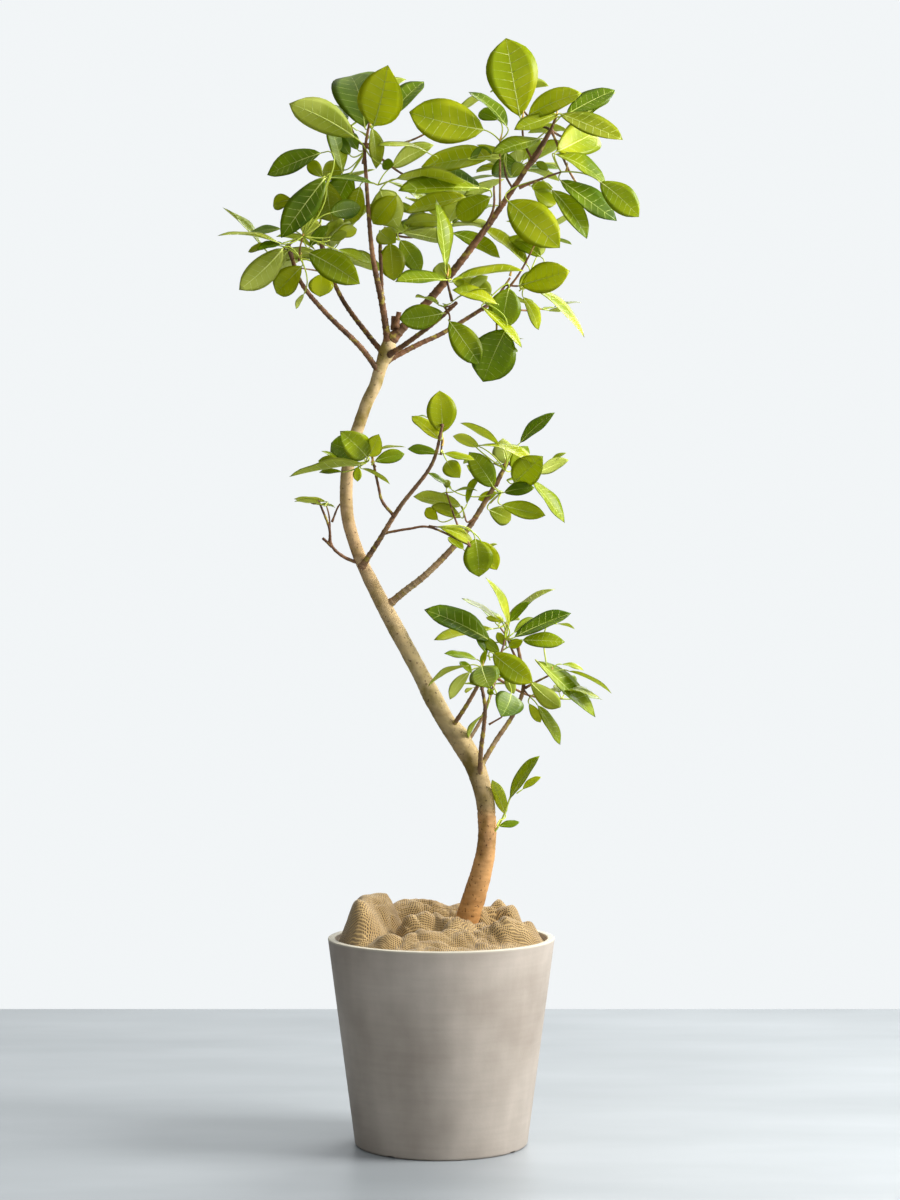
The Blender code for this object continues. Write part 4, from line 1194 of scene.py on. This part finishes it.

# %% [markdown]
# The leaves that show from the front make the plant's likeness, so chance can't place them. Each row
# holds what was read for one leaf: its base and its tip in the picture, how wide it looks, its tone,
# and which way its tip leans: 1 away, -1 towards the viewer and 0 flat. They are grouped by tuft,
# with the depth of the tuft and the places of its shoots.

# %% Table of the leaves that show
# A leaf's tone is partly painted light: dark and mid stand for painted shade inside the tufts, and lime for
# painted light that comes through the blade
Leaf = namedtuple("Leaf", "base tip wide tone lean")
Tuft = namedtuple("Tuft", "region depth shoots leaves")
TUFTS = (
    Tuft("crown", -0.085, ((303, 236), (300, 258)), (
        Leaf((321, 153), (267, 175), 24, "dark", 1), Leaf((325, 178), (281, 238), 30, "dark", 0),
        Leaf((292, 200), (273, 206), 16, "olive", 1), Leaf((281, 244), (217, 236), 7, "lime", 0),
        Leaf((281, 229), (248, 234), 10, "dark", 1), Leaf((272, 246), (248, 252), 9, "olive", 1),
        Leaf((283, 243), (257, 250), 9, "dark", -1), Leaf((283, 248), (239, 290), 28, "pale", 0),
        Leaf((288, 251), (268, 280), 13, "pale", 1), Leaf((302, 266), (276, 293), 26, "lime", 1),
        Leaf((321, 274), (320, 297), 25, "lime", 0), Leaf((304, 294), (296, 309), 5, "pale", 0),
        Leaf((309, 253), (360, 284), 30, "mid", -1), Leaf((310, 247), (328, 225), 12, "dark", 1),
        Leaf((327, 181), (333, 222), 30, "olive", 1), Leaf((320, 219), (306, 207), 14, "mid", 1),
        Leaf((322, 177), (309, 160), 14, "olive", 1), Leaf((327, 178), (373, 184), 9, "dark", 0),
        Leaf((330, 213), (361, 207), 20, "dark", 1), Leaf((338, 250), (371, 263), 11, "mid", 1),
        Leaf((335, 236), (357, 229), 14, "lime", 1), Leaf((330, 240), (347, 232), 10, "olive", 1))),
    Tuft("crown", -0.030, ((369.6, 126), (366, 150), (378, 185)), (
        Leaf((354, 137), (289, 103.5), 30, "pale", -1), Leaf((365, 128), (350, 76), 52, "dark", 1),
        Leaf((373.5, 126), (388, 65), 45, "lime", -1), Leaf((386, 121), (424, 81.5), 22, "dark", 1),
        Leaf((372, 128), (376, 169), 15, "olive", 0), Leaf((358, 150), (349, 134), 14, "dark", 1),
        Leaf((342, 172), (329, 124), 18, "mid", 0), Leaf((350, 155), (338, 136), 14, "dark", 0),
        Leaf((432, 155), (377, 146), 9, "lime", -1), Leaf((392, 167), (434, 145), 15, "pale", 1),
        Leaf((382, 164), (394, 165), 12, "dark", -1), Leaf((345, 170), (322, 172), 22, "olive", 1),
        Leaf((352, 172), (333, 214), 36, "dark", 1), Leaf((360, 186), (352, 224), 20, "olive", 1))),
    Tuft("crown", -0.060, ((500, 141), (490, 190), (380, 190), (500, 158)), (
        Leaf((484, 130), (409, 112), 44, "lime", 0), Leaf((507, 127), (468, 92), 15, "dark", 1),
        Leaf((498, 120), (479, 112), 14, "dark", 1), Leaf((492, 156), (421, 167), 28, "lime", 1),
        Leaf((396, 179), (466, 182), 12, "pale", -1), Leaf((480, 187), (425, 170), 20, "dark", 1),
        Leaf((479, 188), (398, 191), 24, "mid", -1), Leaf((380, 190), (399, 228), 34, "pale", 1),
        Leaf((491, 197), (456, 217), 27, "mid", 1), Leaf((466, 197), (405, 212), 20, "lime", 1),
        Leaf((396, 196), (373, 224), 24, "lime", 1), Leaf((470, 158), (492, 152), 15, "dark", 1))),
    Tuft("crown", -0.020, ((522, 120), (504, 160), (536, 140)), (
        Leaf((520, 117), (506, 38), 52, "lime", 0), Leaf((528, 116), (582, 93), 25, "lime", -1),
        Leaf((558, 114), (514, 130), 18, "lime", -1), Leaf((541, 139), (492, 154), 18, "mid", -1),
        Leaf((506, 152), (505, 178), 30, "dark", 1), Leaf((512, 176), (524, 164), 14, "mid", 1))),
    Tuft("crown", -0.050, ((556, 117), (561, 172), (541, 179), (536, 158)), (
        Leaf((566, 115), (615, 90), 22, "dark", 1), Leaf((560, 114), (623, 140), 25, "olive", -1),
        Leaf((556, 152), (596, 132), 38, "lime", 1), Leaf((555, 154), (606, 184), 18, "mid", 0),
        Leaf((600, 182), (639, 217), 28, "mid", 0), Leaf((560, 180), (617, 221), 25, "dark", 0),
        Leaf((552, 190), (587, 239), 22, "mid", 0), Leaf((508, 201), (560, 248), 40, "lime", -1),
        Leaf((531, 186), (553, 188), 12, "lime", 1), Leaf((548, 170), (536, 162), 8, "mid", 1),
        Leaf((534, 190), (556, 204), 18, "lime", 1))),
    Tuft("crown", -0.120, ((447, 278), (444, 313), (450, 320), (485, 303)), (
        Leaf((445, 268), (436, 200), 15, "mid", 0), Leaf((447, 280), (395, 282), 16, "mid", -1),
        Leaf((449, 279), (439, 263), 18, "lime", 1), Leaf((452, 280), (464, 285), 11, "lime", 1),
        Leaf((452, 282), (524, 271), 12, "lime", 0), Leaf((444, 313), (399, 319), 25, "mid", 0),
        Leaf((449, 321), (480, 365), 27, "mid", 0), Leaf((506, 329), (483, 382), 45, "dark", 0),
        Leaf((509, 288), (503, 329), 32, "mid", 0), Leaf((491, 294), (463, 279), 22, "pale", 1),
        Leaf((497, 304), (452, 290), 15, "lime", 0), Leaf((482, 307), (522, 348), 11, "lime", 0),
        Leaf((470, 286), (488, 276), 12, "pale", 1))),
    Tuft("crown", 0.045, ((510, 278), (527, 283), (452, 232), (399, 240)), (
        Leaf((527, 265), (480, 226), 15, "olive", 1), Leaf((541, 257), (508, 237), 17, "mid", 1),
        Leaf((521, 285), (570, 271), 31, "lime", -1), Leaf((402, 232), (453, 243), 13, "pale", 1),
        Leaf((452, 233), (500, 258), 18, "mid", 0), Leaf((523, 297), (538.6, 330), 14, "lime", 1),
        Leaf((526, 284), (584.6, 338), 12, "lime", 0), Leaf((537, 256), (545, 240), 11, "pale", 1),
        Leaf((390, 243), (394, 281), 27, "olive", 0), Leaf((400, 240), (421, 272), 21, "mid", 1),
        Leaf((380, 231), (396, 243), 21, "lime", -1), Leaf((443, 222), (404, 224), 15, "pale", 1),
        Leaf((520, 290), (534, 272), 14, "olive", 1))),
    Tuft("middle", -0.078, ((371.8, 465), (366, 462)), (
        Leaf((367, 457), (340, 431), 27, "mid", -1), Leaf((362, 457), (331, 443), 27, "dark", 1),
        Leaf((368, 456), (379, 434), 18, "lime", -1), Leaf((374.6, 461.5), (404.7, 454), 14, "mid", 0),
        Leaf((363.8, 463.8), (289, 477), 5, "pale", 0), Leaf((342, 463), (318, 461), 11, "olive", 1),
        Leaf((341, 463), (321, 451), 4, "mid", 0), Leaf((342, 472), (319, 472.5), 6, "mid", 0),
        Leaf((358, 467), (357.6, 481.7), 9, "lime", 0), Leaf((361.5, 468.5), (390, 484.5), 4, "pale", 0),
        Leaf((369, 458), (354, 436), 16, "mid", 1))),
    Tuft("middle", -0.005, ((326, 504),), (
        Leaf((326, 501.7), (293.8, 499), 6, "lime", 0), Leaf((323.6, 505.8), (294, 501.7), 4, "pale", 0))),
    Tuft("middle", -0.080, ((442, 450), (442, 440)), (
        Leaf((442.3, 433), (439.6, 390.5), 30, "lime", 0), Leaf((440, 440), (411.6, 416), 14, "lime", 1),
        Leaf((438, 454), (407.4, 449), 10.5, "dark", 0), Leaf((444, 453.5), (474.7, 460), 8, "lime", 0),
        Leaf((447, 461), (460, 478), 18, "lime", -1))),
    Tuft("middle", 0.035, ((505, 470), (507, 480), (502, 492)), (
        Leaf((520, 443), (555, 412.5), 13, "dark", 0), Leaf((500.4, 446.6), (460, 423), 7, "pale", 0),
        Leaf((479.3, 446.6), (452.7, 436), 11, "pale", 1),
        Leaf((478.6, 445.4), (534.8, 464.5), 10, "lime", -1),
        Leaf((506, 463), (503, 438), 24, "pale", 1), Leaf((514, 483), (543, 456), 30, "mid", -1),
        Leaf((538, 473), (569, 460), 13, "pale", 1), Leaf((493.5, 487), (469, 452), 24, "mid", -1),
        Leaf((494, 487), (466.4, 465), 13, "lime", 0), Leaf((452, 490), (427, 473), 6, "mid", 0),
        Leaf((504, 492.5), (534.8, 488), 14, "dark", -1), Leaf((501.5, 505), (545.6, 515.5), 18, "lime", 0),
        Leaf((489, 510), (511, 520), 20, "olive", 1), Leaf((532.5, 481), (564.7, 523), 14, "mid", 0),
        Leaf((512, 470), (528, 446), 18, "mid", 1), Leaf((497, 492), (478, 500), 10, "lime", 1))),
    Tuft("middle", 0.025, ((463, 510),), (
        Leaf((467, 504), (479.3, 476.4), 8, "mid", 0), Leaf((461.4, 506.3), (413.2, 496.6), 15, "pale", 0),
        Leaf((461.4, 517.8), (431, 506), 13, "olive", 0), Leaf((438, 520), (426, 508), 12, "lime", 1))),
    Tuft("middle", -0.040, ((438, 527),), (
        Leaf((440, 527.6), (474.7, 545.8), 12, "lime", 0), Leaf((475, 538.4), (479, 577), 30, "mid", 0),
        Leaf((481, 541), (497, 570), 18, "lime", 1))),
    Tuft("low", 0.005, ((505, 640), (503, 650)), (
        Leaf((491, 641.3), (424, 609.7), 24, "dark", 0), Leaf((499, 619.7), (461.3, 598.3), 5, "lime", 0),
        Leaf((510, 622), (529.8, 602), 9, "dark", 0), Leaf((514, 637.5), (571.3, 613.2), 16, "dark", 0),
        Leaf((522.5, 640), (565.2, 642), 16, "mid", 0), Leaf((514, 632.7), (534, 617.8), 11, "mid", 1),
        Leaf((504.4, 622), (486, 617.4), 7, "lime", 1), Leaf((506.3, 646), (497, 632.3), 9, "lime", 1),
        Leaf((508.6, 647), (523, 641), 10, "lime", -1), Leaf((508.6, 628), (485, 577), 8, "lime", 0),
        Leaf((499.6, 652.8), (478.5, 637.5), 12, "mid", 1), Leaf((487, 655), (474, 634), 7, "dark", 0))),
    Tuft("low", -0.055, ((482, 668), (497, 664), (490, 660)), (
        Leaf((476.6, 659.5), (444, 653.7), 7, "mid", 0), Leaf((482.4, 667), (485.8, 650.3), 6, "mid", 0),
        Leaf((469, 665.6), (427.8, 687), 5, "pale", 0), Leaf((470, 672), (449.8, 699.7), 12, "pale", 0),
        Leaf((481.4, 666), (490, 688), 31, "mid", -1), Leaf((492.9, 653.2), (533, 683), 26, "lime", -1),
        Leaf((507.2, 671), (514, 694), 11, "pale", 0), Leaf((511, 694), (501, 717), 30, "dark", -1),
        Leaf((494, 694), (487, 690), 6, "mid", 1), Leaf((484.3, 714), (468.4, 738.9), 5, "pale", 1))),
    Tuft("low", 0.035, ((549, 676), (530, 697), (522, 682)), (
        Leaf((536.9, 661), (595.5, 717.5), 18, "mid", 0), Leaf((530.2, 682), (560.8, 707.3), 19, "pale", -1),
        Leaf((544.5, 692), (600, 697.8), 5, "lime", 0), Leaf((561.8, 664.3), (583.8, 670.6), 5, "lime", 0),
        Leaf((568.5, 671), (612, 694), 4, "pale", 0), Leaf((557, 624), (574.8, 629.3), 3, "pale", 1),
        Leaf((528.9, 703.5), (540.7, 722.6), 10, "lime", 0), Leaf((537.3, 705), (560.2, 745), 12, "mid", 0))),
    Tuft("sprout", -0.030, ((500, 820), (510, 799)), (
        Leaf((505.3, 814.5), (492, 779.6), 13, "pale", 0), Leaf((510, 799), (539.8, 755.7), 11, "mid", 0),
        Leaf((499, 826.3), (519.7, 822), 7, "mid", 0))),
)
print("tufts:", len(TUFTS))

# %% [markdown]
# A blade that looks short for its width leans, and one that looks narrow for its length is turned
# on edge. Typing in angles would be slow and easy to get wrong, so the true length, the lean and the
# turn follow from the row. A pale leaf shows its underside, and each stalk runs from the nearest
# shoot of the tuft.

# %% Leaves that show
# A leaf's width as a share of its length: the usual one, the widest, and the least part of the
# usual one that a leaf is given
WIDTH_OF_LENGTH = 0.50
WIDEST_OF_LENGTH = 0.54
LEAST_OF_USUAL = 0.86
# A leaf that leans is at least this much longer than it looks
LEAN_GAIN = 1.08
DEPTH_SPREAD = 0.016
TIP_SPREAD = 0.01
LEAN_DEPTH = 0.012
PIXELS_PER_METRE = FOCAL_PX / -EYE.y
TOWARDS = Vector((0.0, -1.0, 0.0))
rng = random.Random(7)
blade_stores = defaultdict(MeshStore)
vein_stores = defaultdict(MeshStore)


def put_leaf(region, tone, blade, start):
    """Adds a blade, its veins and its stalk."""
    add_blade(blade, blade_stores[(region, tone)])
    add_veins(blade, vein_stores[region])
    add_stalk(start, blade)


def shown_blade(leaf, tuft_depth):
    """The blade of a leaf that shows, leaning and turned as its row says."""
    flat = math.dist(leaf.base, leaf.tip)
    true = max(leaf.wide / WIDEST_OF_LENGTH, flat * LEAN_GAIN) if leaf.lean else flat
    deep = leaf.lean * math.sqrt(true ** 2 - flat ** 2) / PIXELS_PER_METRE
    depth = tuft_depth + rng.uniform(-DEPTH_SPREAD, DEPTH_SPREAD) + LEAN_DEPTH * leaf.lean
    base = from_picture(*leaf.base, depth)
    tip = from_picture(*leaf.tip, depth + deep + rng.uniform(-TIP_SPREAD, TIP_SPREAD))
    along = (tip - base).normalized()
    width = max(leaf.wide, true * WIDTH_OF_LENGTH * LEAST_OF_USUAL) / PIXELS_PER_METRE
    facing = (TOWARDS - along * TOWARDS.dot(along)).normalized()
    sideways = along.cross(facing)
    if sideways.z < 0:
        sideways = -sideways
    turn = math.acos(min(1.0, leaf.wide / PIXELS_PER_METRE / width))
    face = -1 if leaf.tone == "pale" else 1
    return Blade(base, tip, width, facing * math.cos(turn) * face + sideways * math.sin(turn), rng)


for tuft in TUFTS:
    for leaf in tuft.leaves:
        shoot = min(tuft.shoots, key=lambda place: math.dist(place, leaf.base))
        tone = "lime" if leaf.tone == "pale" else leaf.tone
        put_leaf(tuft.region, tone, shown_blade(leaf, tuft.depth), from_picture(*shoot, tuft.depth))
print("leaves placed one by one:", sum(len(tuft.leaves) for tuft in TUFTS))

# %% [markdown]
# The back and the inside of the crown don't show. Placing leaves there one by one would be no better
# than chance, so a rule grows them, and a table says how many each mass gets.

# %% Table of the hidden leaves
# How many leaves the rule adds in each mass, and how far back in the mass its shoot stands
FILL = {
    "crown_left": (4, 0.75), "crown_left_back": (11, 0.50), "crown_top_left": (6, 0.80),
    "crown_middle_left": (4, 0.80), "crown_centre_left": (6, 0.60), "crown_centre": (4, 0.85),
    "crown_upper_centre": (3, 0.75), "crown_top": (4, 0.80), "crown_top_right": (5, 0.80),
    "crown_right": (6, 0.78), "crown_right_low": (6, 0.70), "crown_low_front": (3, 0.70),
    "crown_low_right": (5, 0.75), "crown_low_tip": (5, 0.75), "crown_back": (13, 0.50),
    "crown_back_right": (11, 0.50), "middle_left": (2, 0.75), "middle_left_low": (1, 0.6),
    "middle_top": (2, 0.75), "middle_centre": (3, 0.70), "middle_right": (5, 0.75),
    "middle_right_out": (4, 0.75), "middle_low": (2, 0.75), "low_top": (5, 0.75), "low_right": (4, 0.78),
    "low_left": (3, 0.75), "low_back": (8, 0.50), "sprout": (1, 0.6)
}
print("masses of leaves:", len(FILL))

# %% [markdown]
# From the end of the limb that enters each mass, a twig runs to a new shoot, and leaves stand round
# it in the golden angle, as on the real plant. Leaves scattered at random would float and crowd. In
# the front masses the new leaves grow only backwards, so that none cuts through one that shows.
# Their tips stay inside the box of the mass, as far as the shortest leaf allows.

# %% Leaves that grow by rule
GOLDEN = math.radians(137.5)
TURN_SPREAD = 0.3
LIFT_RANGE = (-0.25, 0.75)
BASE_RANGE = (0.010, 0.024)
LENGTH_RANGE = (0.088, 0.130)
SHORTEST_LEAF = 0.025
# The longest leaf, as a share of the longest side of its mass
LONGEST_OF_MASS = 1.2
LEAN_RANGE = (-0.5, 0.5)
# A leaf that points up or down more steeply than this turns its upper side inwards, this much
STEEP = 0.6
INWARDS = 0.8
WIDTH_RANGE = (0.44, 0.54)
TONE_DEAL = ("mid", "mid", "dark", "olive", "lime")
# Shoots further back than this share of their mass only grow leaves backwards
BACK_ONLY = 0.55
SHOOT_HEIGHT = 0.45
SHORTEST_TWIG = 0.012
TWIG_SAG = 0.10
TWIG_RADII = (0.0022, 0.0012)
LIMB_ENDS = {limb.into: from_front(*limb.path[-1]) for limb in LIMBS}
fill_rng = random.Random(41)


def room_for(base, way, length, low, high):
    """The length that a leaf can have before its tip leaves the box of its mass."""
    for axis in range(3):
        if way[axis]:
            face = high[axis] if way[axis] > 0 else low[axis]
            length = min(length, max(SHORTEST_LEAF, (face - base[axis]) / way[axis]))
    return length


def grow_leaf(region, hub, k, low, high, back_only):
    """Adds leaf number k round a shoot."""
    turn = GOLDEN * k + fill_rng.uniform(-TURN_SPREAD, TURN_SPREAD)
    lift = fill_rng.uniform(*LIFT_RANGE)
    way = Vector((math.cos(turn) * math.cos(lift), math.sin(turn) * math.cos(lift), math.sin(lift)))
    if back_only:
        way.y = abs(way.y)
    base = hub + way * fill_rng.uniform(*BASE_RANGE)
    length = min(fill_rng.uniform(*LENGTH_RANGE), LONGEST_OF_MASS * max(high - low))
    length = room_for(base, way, length, low, high)
    up = Vector((fill_rng.uniform(*LEAN_RANGE), fill_rng.uniform(*LEAN_RANGE), 1.0))
    if abs(way.z) > STEEP:
        up += Vector((-way.x, -way.y, 0)) * INWARDS
    tone = fill_rng.choice(TONE_DEAL)
    width = length * fill_rng.uniform(*WIDTH_RANGE)
    put_leaf(region, tone, Blade(base, base + way * length, width, up, fill_rng), hub)


grown = 0
for name, (leaf_count, share) in FILL.items():
    low, high = (Vector(corner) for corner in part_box(name))
    size = high - low
    hub = Vector(((low.x + high.x) / 2, low.y + size.y * share, low.z + size.z * SHOOT_HEIGHT))
    nearest = min(LIMB_ENDS, key=lambda mass: (LIMB_ENDS[mass] - hub).length)
    start = LIMB_ENDS[name if name in LIMB_ENDS else nearest]
    reach = (hub - start).length
    if reach > SHORTEST_TWIG:
        bend = (start + hub) / 2 + Vector((0, 0, -TWIG_SAG * reach))
        add_twig([start, bend, hub], TWIG_RADII, Vector((0, 0, grown * 0.7)))
    for k in range(leaf_count):
        grow_leaf(name.split("_")[0], hub, k, low, high, share > BACK_ONLY)
    grown += leaf_count
print("leaves grown by rule:", grown)

# %% [markdown]
# Each growing tip ends in a slim reddish sheath that wraps the next leaf. A cone would do, but the
# real one is round-shouldered, so it is a short loft that thins ever faster towards its tip. The
# sprout low on the trunk is still green, so its stem joins the stalks and takes their finish.

# %% Bud sheaths and the sprout's stem
# A bud: its foot as (px, py, depth), and how tall it is in pixels
Bud = namedtuple("Bud", "px py depth tall")
BUDS = (
    Bud(303, 236, -0.085, 9), Bud(300, 258, -0.085, 6), Bud(369.6, 126, -0.03, 12),
    Bud(556, 118, -0.05, 11), Bud(566, 172, -0.05, 10), Bud(500, 141, -0.06, 8),
    Bud(522, 120, -0.02, 10), Bud(447, 276, -0.12, 9), Bud(510, 276, 0.045, 10),
    Bud(505, 466, 0.04, 11), Bud(442, 446, -0.08, 9), Bud(371.8, 463, -0.078, 8),
    Bud(505, 633, 0.005, 10), Bud(482, 668, -0.055, 8), Bud(551, 674, 0.035, 8),
)
BUD_RADIUS = 0.0021
BUD_POWER = 0.7
BUD_TIP = 0.0001
BUD_LEAN_PX = 1.5
BUD_BULGE = Vector((0.0006, 0, 0))
BUD_STEP = 0.0012
BUD_SIDES = 8
STEM_STEP = 0.003
STEM_SIDES = 10


def bud_radius(spot, out, gone, share):
    """A radius for loft that thins ever faster towards the tip."""
    return BUD_RADIUS * (1 - share) ** BUD_POWER + BUD_TIP


bud_store = MeshStore()
for bud in BUDS:
    foot = from_picture(bud.px, bud.py, bud.depth)
    head = from_picture(bud.px + BUD_LEAN_PX, bud.py - bud.tall, bud.depth)
    line = smooth_line([foot, (foot + head) / 2 + BUD_BULGE, head], BUD_STEP)
    bud_store.add(*loft(line, bud_radius, BUD_SIDES))
stem_line = smooth_line([from_front(*point) for point in SPROUT_STEM.path], STEM_STEP)
stalk_store.add(*loft(stem_line, tapered(SPROUT_STEM.radii), STEM_SIDES))
print("bud sheaths:", len(BUDS), "points in the stem's line:", len(stem_line))

# %% [markdown]
# The greens are partly painted light: dark and mid greens are painted shade for leaves inside the
# tufts, lime is painted light for leaves that the light comes through, and olive is on old leaves. A
# picture of a leaf isn't needed for that. Each finish drifts between two greens by noise, and is
# mixed with a translucent one that makes the blades glow against the light. The upper face is
# glossy, and the underside is paler and more matt.

# %% Finishes of the leaves
GLOSSY = 0.36
MATT = 0.55
SOFT_SHINE = 0.30
LIGHT_THROUGH = 0.42
# The two greens that each tone drifts between, and the green of the light that it lets through
# dark and mid are painted shade, lime is painted light coming through, olive is the tone of old leaves
LEAF_TONES = {"dark": ((0.055, 0.125, 0.002), (0.200, 0.300, 0.005), (0.31, 0.43, 0.004)),
              "mid": ((0.130, 0.225, 0.002), (0.350, 0.430, 0.006), (0.56, 0.63, 0.006)),
              "lime": ((0.270, 0.360, 0.003), (0.530, 0.570, 0.012), (0.76, 0.79, 0.010)),
              "olive": ((0.160, 0.220, 0.003), (0.350, 0.390, 0.010), (0.53, 0.57, 0.008))}
UNDER_TONES = ((0.390, 0.470, 0.060), (0.560, 0.620, 0.130), (0.66, 0.72, 0.04))
RIB_TONES = ((0.3, (0.60, 0.72, 0.10)), (0.7, (0.78, 0.84, 0.24)))
STALK_TONES = ((0.3, (0.40, 0.52, 0.03)), (0.7, (0.64, 0.70, 0.09)))
SHEATH_TONES = ((0.3, (0.62, 0.30, 0.05)), (0.7, (0.72, 0.55, 0.10)))


def leaf_material(name, tones, roughness):
    """A leaf surface: clouded green that lets part of the light through."""
    made, tree, shader = new_material(name, roughness)
    first, second, through = tones
    shader.inputs["Specular IOR Level"].default_value = SOFT_SHINE
    feed(tree, clouds(tree, 17.0, 3.0, ((0.38, first), (0.62, second))), shader.inputs["Base Color"])
    bump_node(tree, shader, noise_node(tree, 180.0, 3.0), 0.12, 0.0008)
    glow = add_node(tree, "BsdfTranslucent", {"Color": through})
    both = add_node(tree, "MixShader", {0: LIGHT_THROUGH, 1: shader.outputs[0], 2: glow.outputs[0]})
    feed(tree, both.outputs[0], tree.nodes["Material Output"].inputs["Surface"])
    return made


under = leaf_material("leaf_underside", UNDER_TONES, MATT)
upper = {tone: leaf_material("leaf_" + tone, tones, GLOSSY) for tone, tones in LEAF_TONES.items()}
rib = clouded_material("leaf_rib", 0.5, 40.0, 2.0, RIB_TONES)
stalk = clouded_material("leaf_stalk", 0.5, 30.0, 2.0, STALK_TONES)
sheath = clouded_material("bud_sheath", 0.5, 60.0, 2.0, SHEATH_TONES)
print("finishes of the leaves:", len(upper) + 1)

# %% [markdown]
# The collected blades, ribs, stalks and boughs now become pieces. One piece per leaf would make
# hundreds, so the blades are kept by region and tone. Points that meet are joined first, so that
# each blade and rib is one closed skin. The solids that a piece stands in for are hidden.

# %% Pieces of leaves and boughs
JOIN_REACH = 0.000002
THIN_REACH = 0.000001


def closed(mesh):
    """Joins the points that meet, so that each blade and rib is one closed skin."""
    bm = bmesh.new()
    bm.from_mesh(mesh)
    bmesh.ops.remove_doubles(bm, verts=bm.verts, dist=JOIN_REACH)
    bmesh.ops.dissolve_degenerate(bm, edges=bm.edges, dist=THIN_REACH)
    bm.to_mesh(mesh)
    bm.free()
    mesh.shade_smooth()
    return mesh


def leaf_piece(name, store, materials):
    """Makes a closed piece of the leaves."""
    return add_piece(name, closed(store.mesh(name)), materials)


region_nodes = defaultdict(list)
for name in FILL:
    region_nodes[name.split("_")[0]].append(name)
for (region, tone), store in sorted(blade_stores.items()):
    leaves = leaf_piece(f"leaves_{region}_{tone}", store, [upper[tone], under])
    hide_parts(*region_nodes[region])
for region, store in sorted(vein_stores.items()):
    leaf_piece(f"leaf_ribs_{region}", store, [rib])
stalks = leaf_piece("leaf_stalks", stalk_store, [stalk])
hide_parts(SPROUT_STEM.name)
leaf_piece("bud_sheaths", bud_store, [sheath])
boughs = add_piece("boughs_and_twigs", bough_store.mesh("boughs_and_twigs"), [young_bark])
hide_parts(*(limb.name for limb in WOODY_LIMBS))
print("pieces of blades:", len(blade_stores), "faces in boughs:", len(boughs.data.polygons))
